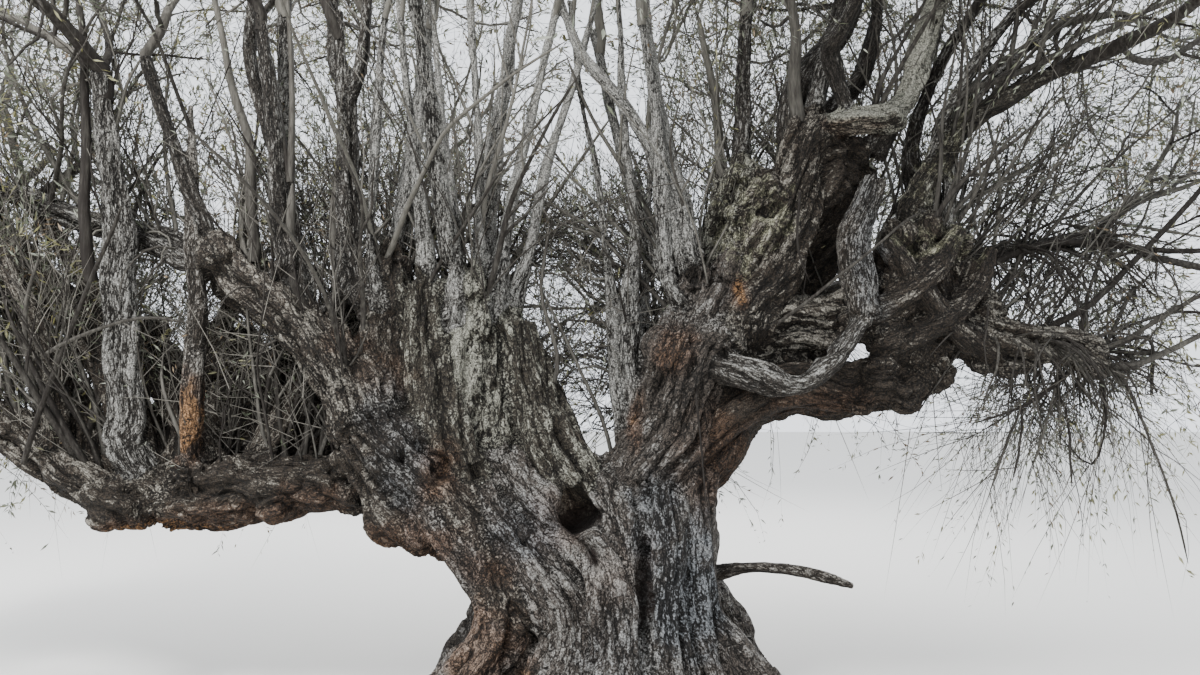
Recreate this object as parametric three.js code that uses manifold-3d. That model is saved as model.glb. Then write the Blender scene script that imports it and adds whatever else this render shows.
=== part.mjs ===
// Ancient olive tree: a short, broad, twin trunk with heavy crooked boughs under a wide open crown.
// Millimetres, +Z up. The origin is on the level ground under the trunk, +X is the tree's right side
// seen from the front, and -Y is the front. The trunk's foot is a flat cut at Z = 0.

import * as THREE from 'three';
import { mergeVertices } from 'three/addons/utils/BufferGeometryUtils.js';
import Module from 'manifold-3d';

const wasm = await Module();
wasm.setup();

// Driving dimensions of the crown. Over the front it is lifted, and each mass is a little higher or
// lower than the next.
const CROWN_WIDTH = 8400;
const CROWN_DEPTH = 6700;
const CROWN_FRONT_LIFT = 420;
const CROWN_STAGGER = 130;

// Driving dimensions of the trunk: half widths, from the root flare to the fork, and its depth as a
// share of its width. It is modelled from a little under the ground and cut there.
const FLARE_HALF_WIDTH = 930;
const WAIST_HALF_WIDTH = 600;
const FORK_HEIGHT = 1180;
const TRUNK_FLATNESS = 0.8;
const BELOW_GROUND = -60;

// Radii that the limbs share
const HEAVY = 225;
const BOUGH = 150;
const STEM = 66;
const SHOOT = 52;
const TIP = 40;

// A mass is flatter below than above, and its surface swells by these shares of its size.
const UNDERSIDE_FLATNESS = 0.82;
const SLOW_LUMPS = 0.19;
const QUICK_LUMPS = 0.12;

// Clearance between pieces that touch, and how finely the solids are faceted
const CLEARANCE = 0.3;
const MERGE_DISTANCE = 0.01;
const LIMB_SIDES = 6;
const HEAVY_SIDES = 8;
const TRUNK_SIDES = 18;
const TRUNK_HALF_SIDES = 8;
const STEP_LENGTH = 420;
const HEAVY_STEP = 340;
const TRUNK_STEP = 240;
const MASS_DETAIL = 2;

const COLOURS = {
  trunk: 0x4d443b,
  heavy: 0x463d35,
  stem: 0x6a655b,
  lichen: 0x74786a,
  dead: 0x7b6b58,
  foliage: 0x7c8569,
};

const tree = new THREE.Group();
const placed = [];
const limbs = {};

// Solids and meshes

function toSolid(geometry) {
  geometry.deleteAttribute('normal');
  geometry.deleteAttribute('uv');
  const merged = mergeVertices(geometry, MERGE_DISTANCE);
  return new wasm.Manifold(new wasm.Mesh({
    numProp: 3,
    vertProperties: new Float32Array(merged.attributes.position.array),
    triVerts: new Uint32Array(merged.index.array),
  }));
}

function toGeometry(solid) {
  const mesh = solid.getMesh();
  const geometry = new THREE.BufferGeometry();
  geometry.setAttribute('position', new THREE.BufferAttribute(new Float32Array(mesh.vertProperties), 3));
  geometry.setIndex(new THREE.BufferAttribute(new Uint32Array(mesh.triVerts), 1));
  geometry.computeVertexNormals();
  return geometry;
}

function largestBody(solid) {
  const bodies = solid.decompose();
  return bodies.reduce((best, body) => (body.volume() > best.volume() ? body : best));
}

function boxesMeet(first, second) {
  const a = first.boundingBox();
  const b = second.boundingBox();
  return [0, 1, 2].every((axis) => a.min[axis] < b.max[axis] && b.min[axis] < a.max[axis]);
}

// Each piece is cut back by a slightly grown copy of every piece placed before it, so that the two
// lie face to face with the clearance between them.
function place(name, colour, solid, grown) {
  let body = solid;
  for (const earlier of placed) {
    if (boxesMeet(body, earlier)) {
      body = body.subtract(earlier);
    }
  }
  body = largestBody(body);
  placed.push(grown);
  const material = new THREE.MeshStandardMaterial({ color: colour, roughness: 0.9, metalness: 0 });
  const mesh = new THREE.Mesh(toGeometry(body), material);
  mesh.name = name;
  tree.add(mesh);
}

// Limbs

// A limb is a cylinder bent along a curve. The radius follows the named girths along it, and the
// section is fluted: it swells and shrinks with the angle, and the flutes wind slowly round the limb.
function bentCylinder(spine, girths, form, grow) {
  const curve = new THREE.CatmullRomCurve3(spine.map((point) => new THREE.Vector3(...point)));
  const sides = form.sides;
  const steps = Math.max(2, Math.round(curve.getLength() / form.step));
  const frames = curve.computeFrenetFrames(steps, false);
  const geometry = new THREE.CylinderGeometry(1, 1, 1, sides, steps);
  const position = geometry.attributes.position;
  const centre = new THREE.Vector3();
  for (let i = 0; i < position.count; i += 1) {
    const t = position.getY(i) + 0.5;
    const ring = Math.round(t * steps);
    const away = Math.hypot(position.getX(i), position.getZ(i));
    const angle = Math.atan2(position.getZ(i), position.getX(i));
    const along = t * (girths.length - 1);
    const before = Math.min(Math.floor(along), girths.length - 2);
    const girth = THREE.MathUtils.lerp(girths[before], girths[before + 1], along - before);
    const flute = 1 + form.flute * Math.sin(form.flutes * angle + form.twist * t + form.phase);
    const bump = 1 + 0.5 * form.flute * Math.sin(2 * angle + 5.3 * t + 2 * form.phase);
    const radius = away * (girth * flute * bump + grow);
    curve.getPointAt(t, centre);
    const endShift = t === 0 ? -grow : (t === 1 ? grow : 0);
    centre.addScaledVector(frames.tangents[ring], endShift);
    centre.addScaledVector(frames.normals[ring], -radius * Math.cos(angle));
    centre.addScaledVector(frames.binormals[ring], radius * Math.sin(angle));
    position.setXYZ(i, centre.x, centre.y, centre.z);
  }
  return toSolid(geometry);
}

function limbForm(name, changes) {
  const phase = name.length * 1.7 + name.charCodeAt(name.length - 1);
  const usual = { sides: LIMB_SIDES, step: STEP_LENGTH, flute: 0.1, flutes: 3, twist: 2.2, phase };
  return { ...usual, ...changes };
}

// A limb's curve is remembered, so that the limbs it carries can start on it.
function limb(name, colour, girths, spine, changes = {}) {
  const form = limbForm(name, changes);
  limbs[name] = new THREE.CatmullRomCurve3(spine.map((point) => new THREE.Vector3(...point)));
  const solid = bentCylinder(spine, girths, form, 0);
  const grown = bentCylinder(spine, girths, form, CLEARANCE);
  place(name, colour, solid, grown);
}

function on(name, t) {
  return limbs[name].getPointAt(t).toArray();
}

// Foliage masses

// Smooth unevenness of a mass, different for each seed
function lump(direction, seed) {
  const { x, y, z } = direction;
  const slow = Math.sin(2.1 * x + 1.3 * y + seed) * Math.cos(1.9 * z - 0.7 * seed + x);
  const quick = Math.sin(4.3 * y - 2.9 * z + 1.7 * seed) * Math.cos(3.7 * x + 0.9 * seed);
  return 1 + SLOW_LUMPS * slow + QUICK_LUMPS * quick;
}

// A mass is a sphere pressed into a lumpy cushion that is flatter below than above.
function lumpySphere(centre, size, seed, grow) {
  const geometry = new THREE.IcosahedronGeometry(1, MASS_DETAIL);
  const position = geometry.attributes.position;
  const direction = new THREE.Vector3();
  for (let i = 0; i < position.count; i += 1) {
    direction.fromBufferAttribute(position, i).normalize();
    const swell = lump(direction, seed);
    const below = direction.z < 0 ? UNDERSIDE_FLATNESS : 1;
    position.setXYZ(
      i,
      centre[0] + direction.x * (size[0] * swell + grow),
      centre[1] + direction.y * (size[1] * swell + grow),
      centre[2] + direction.z * (size[2] * swell * below + grow),
    );
  }
  return toSolid(geometry);
}

function foliage(name, centre, size, seed) {
  const solid = lumpySphere(centre, size, seed, 0);
  const grown = lumpySphere(centre, size, seed, CLEARANCE);
  place(name, COLOURS.foliage, solid, grown);
}

// Three rings of masses make the crown: top, shoulder and skirt. Each ring is an ellipse, and the
// masses over the front ride higher, where the crown is open towards the front.
const CROWN_RINGS = [
  { name: 'foliage_top', count: 3, reach: 0.3, height: 4520, size: [1180, 1130, 850], turn: 60 },
  { name: 'foliage_shoulder', count: 6, reach: 0.62, height: 3960, size: [1120, 1080, 760], turn: 0 },
  { name: 'foliage_skirt', count: 7, reach: 0.83, height: 3180, size: [940, 940, 750], turn: 12 },
];

function crownRing(ring, firstSeed) {
  for (let i = 0; i < ring.count; i += 1) {
    const angle = THREE.MathUtils.degToRad(ring.turn + (360 / ring.count) * i);
    const front = Math.max(0, -Math.sin(angle));
    const stagger = CROWN_STAGGER * Math.sin(2.4 * i + firstSeed);
    const centre = [
      0.5 * CROWN_WIDTH * ring.reach * Math.cos(angle),
      0.5 * CROWN_DEPTH * ring.reach * Math.sin(angle),
      ring.height + CROWN_FRONT_LIFT * front * ring.reach + stagger,
    ];
    foliage(`${ring.name}_${i + 1}`, centre, ring.size, firstSeed + i);
  }
}

CROWN_RINGS.forEach((ring, index) => crownRing(ring, 1 + 10 * index));

// Masses that hang below the rings: the weeping right side, the far left arm and the back
foliage('foliage_weeping_right', [2020, 40, 1290], [350, 400, 440], 41);
foliage('foliage_outer_right', [3050, 100, 2080], [700, 800, 640], 42);
foliage('foliage_outer_left', [-3650, 260, 2250], [560, 800, 640], 43);
foliage('foliage_low_back', [60, 1500, 2350], [620, 560, 620], 44);
foliage('foliage_low_back_left', [-1750, 1650, 2450], [820, 650, 560], 45);
foliage('foliage_low_back_right', [1750, 1600, 2400], [820, 650, 560], 46);

// Trunk

// The foot flares from the waist to the ground. Its two halves lean apart above it, and all of them
// are one body, cut flat at the ground.
function trunkSolid(grow) {
  const flute = { step: TRUNK_STEP, sides: TRUNK_SIDES, flute: 0.07, flutes: 7, twist: 1.2, phase: 0.6 };
  const half = { ...flute, sides: TRUNK_HALF_SIDES, flute: 0.08, flutes: 4 };
  const footGirths = [FLARE_HALF_WIDTH, 750, 665, WAIST_HALF_WIDTH, 490, 310];
  const foot = bentCylinder(
    [[-20, 0, BELOW_GROUND], [-20, 0, 420], [-90, 0, 1120]], footGirths, flute, grow);
  const flatFoot = foot.scale([1, TRUNK_FLATNESS, 1]);
  const right = bentCylinder(
    [[330, 10, BELOW_GROUND], [290, -40, 560], [268, -50, 1000], [280, -40, FORK_HEIGHT + 60]],
    [430, 300, 250, 235], half, grow);
  const middle = bentCylinder(
    [[-260, 40, 300], [-400, 40, 850], [-500, 50, FORK_HEIGHT]],
    [420, 300, 215], { ...half, phase: 2 }, grow);
  const left = bentCylinder(
    [[-100, -40, 330], [-350, -70, 640], [-620, -105, 835]],
    [340, 335, 280], { ...half, phase: 4 }, grow);
  const rear = bentCylinder(
    [[-40, 330, BELOW_GROUND], [40, 260, 560], [140, 210, FORK_HEIGHT - 60]],
    [360, 260, 190], { ...half, phase: 5 }, grow);
  const whole = wasm.Manifold.union([flatFoot, right, middle, left, rear]);
  return grow > 0 ? whole : whole.trimByPlane([0, 0, 1], 0);
}

place('trunk', COLOURS.trunk, trunkSolid(0), trunkSolid(CLEARANCE));

// Left side: the leaning half that bends at a thick knee, the arm that goes on up from the knee,
// and the low arm that runs out level from it

const heavyForm = { sides: HEAVY_SIDES, step: HEAVY_STEP, flute: 0.09, flutes: 4 };

limb('left_bough_lower', COLOURS.heavy, [235, 262, 255, 240, 170],
  [[-500, -95, 750], [-680, -110, 880], [-870, -120, 1030], [-1050, -100, 1210], [-1120, -80, 1330]],
  heavyForm);
limb('left_bough_upper', COLOURS.heavy, [HEAVY, 185, 160, 140, 125],
  [[-1090, -90, 1250], [-1240, -50, 1510], [-1440, 0, 1760], [-1690, 50, 1990], [-2020, 110, 2190]],
  heavyForm);
limb('left_bough_reach', COLOURS.stem, [120, 100, 75, 55],
  [[-1980, 110, 2165], [-2560, 300, 2390], [-3080, 420, 2560], [-3500, 420, 2700]]);
limb('left_arm_inner', COLOURS.heavy, [150, 170, 175, 215, 205],
  [[-1080, 0, 1130], [-1300, 50, 1115], [-1560, 100, 1095], [-1900, 150, 1030], [-2240, 170, 985]],
  heavyForm);
limb('left_arm_outer', COLOURS.heavy, [195, 170, 130, 90],
  [[-2220, 170, 985], [-2600, 200, 1020], [-3000, 250, 1250], [-3560, 280, 1640]], heavyForm);

limb('left_stem_pale', COLOURS.stem, [118, 108, 95, 70, 45],
  [[-2440, 130, 1010], [-2465, 90, 1500], [-2500, 50, 2010], [-2520, 40, 2520], [-2640, 0, 3300]]);
limb('left_stub_broken', COLOURS.dead, [70, 62, 54, 40],
  [[-2110, 90, 1060], [-2120, 40, 1400], [-2090, 0, 1750], [-2045, -20, 1960]]);
limb('left_stem_behind', COLOURS.stem, [SHOOT, TIP, 32],
  [on('left_bough_upper', 0.96), [-2140, 20, 2560], [-2400, -90, 3420]]);
limb('left_stem_tall', COLOURS.stem, [STEM, SHOOT, TIP],
  [on('left_bough_upper', 0.58), [-1640, 0, 2150], [-1700, -10, 2800], [-1780, -90, 3500]]);
limb('left_stem_inner', COLOURS.stem, [STEM, SHOOT, TIP],
  [on('left_bough_upper', 0.42), [-1365, 90, 2200], [-1375, 90, 2800], [-1400, 40, 3500]]);

// Middle: two broad fluted heads between the left bough and the open gap, with their stems

limb('left_head', COLOURS.heavy, [215, 190, 180, 165, 120],
  [[-800, 40, 1120], [-960, 60, 1350], [-1070, 80, 1650], [-1120, 100, 1950], [-1140, 110, 2190]],
  heavyForm);
limb('middle_head', COLOURS.lichen, [225, 235, 240, 215, 130],
  [[-500, 50, 1120], [-590, 50, 1330], [-650, 70, 1600], [-700, 80, 1880], [-710, 90, 2080]],
  heavyForm);
limb('middle_stem_left', COLOURS.stem, [1.2 * STEM, SHOOT, TIP],
  [on('left_head', 0.9), [-1080, 160, 2500], [-1010, 200, 3000], [-960, 210, 3600]]);
limb('middle_stem_right', COLOURS.stem, [1.2 * STEM, SHOOT, TIP],
  [on('middle_head', 0.88), [-640, 110, 2500], [-570, 120, 3000], [-470, 120, 3700]]);
limb('middle_stem_front', COLOURS.stem, [STEM, SHOOT, TIP],
  [on('middle_head', 0.8), [-820, -120, 2350], [-850, -420, 2950], [-900, -800, 3650]]);
limb('back_bough_left', COLOURS.heavy, [BOUGH, 125, 80],
  [[-420, 250, 1050], [-760, 560, 1450], [-1100, 900, 1850], [-1500, 1250, 2250]], heavyForm);
limb('back_bough_middle', COLOURS.heavy, [0.85 * BOUGH, SHOOT],
  [[200, 200, 1000], [340, 560, 1420], [270, 950, 1830], [130, 1230, 2100]]);

// Right side: the standing half, the heavy level bough and what twists up from it

limb('right_stem', COLOURS.trunk, [HEAVY, HEAVY, 235, 215, 150],
  [[278, -45, 1225], [288, -30, 1400], [350, -10, 1640], [430, 0, 1860], [490, 10, 2030]], heavyForm);
limb('right_bough', COLOURS.heavy, [HEAVY, 215, 205, 200, 190],
  [[330, -20, 1060], [620, -20, 1310], [900, -10, 1480], [1200, 0, 1530], [1480, 10, 1560]],
  heavyForm);
limb('right_hub', COLOURS.heavy, [190, 205, 215, 205, 150],
  [[1500, 20, 1600], [1620, 30, 1760], [1560, 40, 1950], [1480, 40, 2080], [1440, 20, 2220]],
  heavyForm);
limb('right_core', COLOURS.heavy, [190, 200, 195, 170],
  [[560, 60, 1700], [820, 60, 1840], [1080, 60, 1900], [1330, 50, 1930]], heavyForm);
limb('right_reach', COLOURS.heavy, [150, 120, 100, 75, 50],
  [[1700, 20, 1830], [1960, 0, 1800], [2210, 0, 1750], [2460, 20, 1790], [2760, 60, 1980]], heavyForm);
limb('right_reach_upper', COLOURS.stem, [75, 58, 48, 36],
  [on('right_hub', 0.62), [1850, 110, 2230], [2300, 160, 2320], [2750, 200, 2330]]);
limb('right_twist', COLOURS.heavy, [150, 155, 150, 125, 100],
  [[640, -30, 1740], [770, -60, 2000], [890, -60, 2340], [950, -60, 2640], [1010, -70, 2850]],
  { sides: HEAVY_SIDES, step: HEAVY_STEP, twist: 6 });
limb('right_loop', COLOURS.lichen, [80, 74, 72, 74, 66, 48],
  [on('right_twist', 0.93), [1160, -110, 2905], [1380, -110, 2890], [1500, -80, 2990],
    [1540, -80, 3160], [1640, -110, 3520]], { step: 160 });
limb('right_hugging_limb', COLOURS.stem, [62, 66, 64, 62, 50],
  [[545, -190, 1790], [650, -270, 1610], [830, -300, 1545], [1040, -290, 1670], [1190, -210, 1900]],
  { step: 150 });
limb('right_stump_pale', COLOURS.stem, [84, 92, 88, 74],
  [[1240, -150, 1950], [1150, -190, 2150], [1180, -190, 2380], [1290, -170, 2560]]);
limb('right_strand_low', COLOURS.lichen, [88, 74, 62, 50, 38],
  [on('right_hub', 0.9), [1530, -40, 2500], [1650, -60, 2760], [2100, -60, 3090], [2560, -60, 3290]]);
limb('right_stem_straight', COLOURS.stem, [STEM, SHOOT, TIP],
  [on('right_twist', 0.9), [1020, 0, 3000], [1120, 20, 3280], [1290, 60, 3650]]);
limb('mossy_knob', COLOURS.lichen, [170, 175, 165, 105],
  [[560, 130, 1960], [610, 150, 2150], [650, 160, 2400], [680, 160, 2640]], { step: 170 });
limb('right_stem_dark', COLOURS.stem, [STEM, SHOOT, TIP],
  [on('mossy_knob', 0.93), [700, 190, 3050], [740, 220, 3650]]);
limb('gap_stem_right', COLOURS.stem, [1.1 * STEM, SHOOT, TIP],
  [on('right_stem', 0.93), [400, -20, 2300], [270, 10, 2800], [170, 60, 3600]]);
limb('gap_stem_left', COLOURS.stem, [STEM, SHOOT, TIP],
  [on('right_stem', 0.78), [230, 170, 2280], [90, 240, 2700], [-80, 300, 3500]]);
limb('back_bough_right', COLOURS.heavy, [BOUGH, 125, 80],
  [[420, 100, 1560], [760, 500, 1750], [1120, 900, 1980], [1500, 1200, 2200]], heavyForm);
limb('front_bough_right', COLOURS.stem, [SHOOT, SHOOT, TIP],
  [on('right_stem_straight', 0.45), [1120, -420, 3300], [1250, -900, 3650]]);

export default tree;
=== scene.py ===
"""Ancient olive tree: fluted wood, gnarled boughs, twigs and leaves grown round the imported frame."""
import functools
import math

import bmesh
import bpy
import numpy as np
from mathutils import Matrix, Vector
from mathutils.bvhtree import BVHTree


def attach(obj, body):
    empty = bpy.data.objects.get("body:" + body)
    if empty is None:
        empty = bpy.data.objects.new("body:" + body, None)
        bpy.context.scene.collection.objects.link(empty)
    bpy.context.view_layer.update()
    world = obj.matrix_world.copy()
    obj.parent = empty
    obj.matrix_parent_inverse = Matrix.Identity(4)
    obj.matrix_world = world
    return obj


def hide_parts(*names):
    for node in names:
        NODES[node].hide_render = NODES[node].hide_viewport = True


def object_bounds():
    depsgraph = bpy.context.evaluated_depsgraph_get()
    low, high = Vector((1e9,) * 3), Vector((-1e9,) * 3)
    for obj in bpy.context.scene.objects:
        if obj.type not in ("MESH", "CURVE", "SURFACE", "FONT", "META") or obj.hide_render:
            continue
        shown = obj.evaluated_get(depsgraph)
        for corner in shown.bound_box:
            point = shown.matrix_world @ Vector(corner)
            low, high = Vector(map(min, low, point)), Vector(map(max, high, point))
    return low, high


bl_info = {
    "name": "Ancient olive tree",
    "version": (1, 0, 0),
    "blender": (4, 5, 0),
    "location": "View3D > Sidebar > Olive",
    "description": "Grows the wood, boughs, twigs and leaves of an old olive tree round its frame",
    "category": "Add Mesh",
}

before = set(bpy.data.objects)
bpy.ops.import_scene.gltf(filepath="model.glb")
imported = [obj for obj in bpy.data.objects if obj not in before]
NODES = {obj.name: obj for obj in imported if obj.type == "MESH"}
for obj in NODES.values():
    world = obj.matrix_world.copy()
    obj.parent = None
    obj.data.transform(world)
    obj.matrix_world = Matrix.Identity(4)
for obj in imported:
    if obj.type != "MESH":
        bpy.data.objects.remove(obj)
CAD_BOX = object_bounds()
LOW, HIGH = (np.array(corner, float) for corner in CAD_BOX)
# Wood, twigs and leaves may stand this far past the CAD box, in metres.
ROOM = 0.026 * (HIGH - LOW) + 0.006
# Where the photograph was taken from, in metres, its width and focal length in pixels, and how far
# the view is turned up from straight down, in degrees.
VIEW_SPOT = (-0.05, -4.71, 1.5)
FRAME_WIDTH, FOCAL_LENGTH, VIEW_TURN = 1200, 942, 93.8
SENSOR_WIDTH = 36.0
# Spacing of the points along a limb, in metres.
STEP = 0.05
# Relief of the wood where it is thick, in metres.
FLUTE_DEPTH, STRAND_DEPTH, FIBRE_DEPTH, SWELL_HEIGHT = 0.042, 0.024, 0.008, 0.034
# Sides of the tubes that the wood is fused from.
CORE_SIDES, STRAND_SIDES = 14, 8
# Spacing of the spots that the crown grows to, and radius of its thinnest boughs and of their tips, in metres.
TARGET_SPACING = 0.245
THINNEST, TIP_RADIUS = 0.0055, 0.004
# Limbs of the crown that start thicker than this, in metres, have more sides.
THICK_LIMB, THICK_SIDES, THIN_SIDES = 0.022, 7, 4
# Seeds of the random draws and of the smooth noise, so that each run grows the same tree.
LIMB_SEED, WOOD_SEED, CROWN_SEED, TWIG_SEED, LEAF_SEED = 11, 21, 404, 77, 909
SWELL_NOISE, RELIEF_NOISE, SPRAY_NOISE = 5, 31, 66
# How many spots are worked on at once, to spare memory.
BLOCK = 6000
# Leaf masses further back than the first belong to the back of the crown, and those further out
# than the second to a side, in metres.
BACK_FROM, SIDE_FROM = 0.9, 1.6
# Further limbs that end thinner than the first, in metres, grow on in the crown. Limbs of the crown
# that end thinner than the second carry twigs, and none comes nearer to the ground than the third.
SEED_RADIUS, TWIG_BEARER, LOWEST = 0.075, 0.02, 0.35
# Shares of the twigs on the boughs, on the shoots and in the tangles, and share of them with leaves.
TWIG_SHARES, LEAFY_SHARE = (0.60, 0.27, 0.13), 0.72


def metres(rows):
    """Rows written in centimetres, and any shares among them in hundredths, as metres and shares"""
    return np.round(np.array(rows, float) / 100, 4)


# node: (strands twisted round it, turns per metre, tone 0 dark to 1 pale, what it grows from:
# another limb, or nothing where it runs on down a column of the trunk)
# The tones above 1, on the stems in the middle of the crown, are painted haze light, and the right bough's tone
# of 0 is partly painted shade on its underside.
LIMBS = {
    "left_bough_lower": (5, 0.1, 0.42, None), "left_bough_upper": (5, 0.16, 0.68, "left_bough_lower"),
    "left_bough_reach": (3, 0.2, 0.66, "left_bough_upper"),
    "left_arm_inner": (5, 0.14, 0.34, "left_bough_lower"), "left_arm_outer": (5, 0.18, 0.5, "left_arm_inner"),
    "left_stem_pale": (4, 0.1, 0.8, "left_arm_inner"), "left_stub_broken": (3, 0.1, 0.6, "left_arm_inner"),
    "left_stem_behind": (0, 0.1, 0.45, "left_bough_upper"),
    "left_stem_tall": (3, 0.15, 0.5, "left_bough_upper"),
    "left_stem_inner": (3, 0.12, 0.55, "left_bough_upper"), "left_head": (6, 0.16, 0.28, None),
    "middle_head": (6, 0.14, 0.9, None), "middle_stem_left": (3, 0.1, 1.25, "left_head"),
    "middle_stem_right": (3, 0.1, 1.3, "middle_head"), "middle_stem_front": (0, 0.1, 1.2, "middle_head"),
    "back_bough_left": (5, 0.14, 0.36, None), "back_bough_middle": (4, 0.14, 0.34, None),
    "right_stem": (5, 0.12, 0.3, None), "right_bough": (5, 0.16, 0, None),
    "right_hub": (5, 0.22, 0.38, "right_bough"), "right_core": (5, 0.2, 1.05, "right_stem"),
    "right_reach": (5, 0.2, 0.8, "right_hub"), "right_reach_upper": (0, 0.2, 0.42, "right_hub"),
    "right_twist": (4, 0.3, 0.54, "right_core"), "right_loop": (3, 0.22, 1.3, "right_twist"),
    "right_hugging_limb": (3, 0.3, 0.6, "right_stem"),
    "right_stump_pale": (3, 0.12, 0.64, "right_hugging_limb"), "right_strand_low": (3, 0.2, 0.4, "right_hub"),
    "right_stem_straight": (0, 0.1, 0.66, "right_twist"), "mossy_knob": (5, 0.1, 0.8, "right_core"),
    "right_stem_dark": (0, 0.1, 0.5, "mossy_knob"), "gap_stem_right": (3, 0.08, 1.35, "right_stem"),
    "gap_stem_left": (3, 0.08, 1.25, "right_stem"), "back_bough_right": (5, 0.14, 0.34, "right_stem"),
    "front_bough_right": (0, 0.1, 0.45, "right_loop"),
}
# The boughs carried on down the trunk to the ground: x, y, z and girth radius in centimetres.
COLUMNS = [metres(rows) for rows in [
    [(-84, -19, 100, 16), (-62, -25, 78, 16.5), (-50, -28, 54, 16), (-58, -31, 28, 17.5), (-76, -33, 0, 23),
     (-82, -34, -14, 24)],
    [(-78, 5, 120, 17), (-62, -16, 96, 18), (-40, -30, 74, 17), (-20, -37, 50, 17), (-22, -40, 24, 18),
     (-30, -46, 0, 20), (-32, -48, -14, 20)],
    [(-60, 5, 132, 18), (-44, -12, 108, 15), (-26, -26, 94, 12), (-6, -36, 76, 13), (0, -40, 50, 14),
     (0, -43, 24, 16), (0, -49, 0, 19), (0, -51, -14, 19)],
    [(-16, 2, 112, 14), (-2, -18, 102, 13), (5, -30, 84, 11), (8, -33, 56, 10), (10, -36, 28, 11),
     (13, -42, 0, 14)],
    [(20, -4, 126, 17), (22, -20, 102, 13), (25, -31, 80, 11), (25, -34, 52, 11), (30, -38, 24, 13),
     (38, -44, 0, 17), (40, -46, -14, 17)],
    [(40, 2, 122, 18), (38, -10, 100, 15), (39, -18, 74, 12), (42, -20, 48, 13), (54, -24, 24, 15),
     (72, -28, 0, 19), (78, -30, -14, 19)],
    [(40, 16, 120, 18), (38, 16, 90, 17), (40, 18, 56, 17), (56, 24, 26, 18), (74, 28, 0, 20),
     (80, 30, -14, 20)],
    [(22, 24, 114, 16), (16, 34, 84, 16), (14, 38, 50, 16), (20, 44, 24, 18), (28, 56, 0, 21),
     (30, 58, -14, 21)],
    [(-42, 30, 110, 16), (-30, 34, 80, 17), (-22, 38, 50, 17), (-26, 44, 24, 18), (-30, 55, 0, 21),
     (-32, 58, -14, 21)],
    [(-80, 14, 114, 16), (-58, 16, 80, 18), (-52, 16, 52, 18), (-62, 18, 26, 19), (-80, 20, 0, 21),
     (-86, 21, -14, 22)],
]]
# How many of them lie on the front of the trunk, and how many from the first are paler.
FRONT_COLUMNS, PALE_COLUMNS = 6, 5
# Boughs that are slimmer than their CAD solids under the crotch: x, y, z and girth radius in centimetres.
LINES = {
    "left_bough_lower": metres([(-50, -27, 66, 17), (-64, -19, 87, 19), (-80, -13, 103, 21),
        (-97, -12, 115, 21.5), (-117, -9, 134, 20)]),
    "right_bough": metres([(31, 16, 98, 15), (46, 2, 120, 15.5), (66, -2, 145, 15), (90, -2, 155, 15.5),
        (114, 0, 153, 14.5), (130, -1, 154, 13.5), (146, -1, 158, 14.5), (155, -1, 167, 14)]),
}
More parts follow.
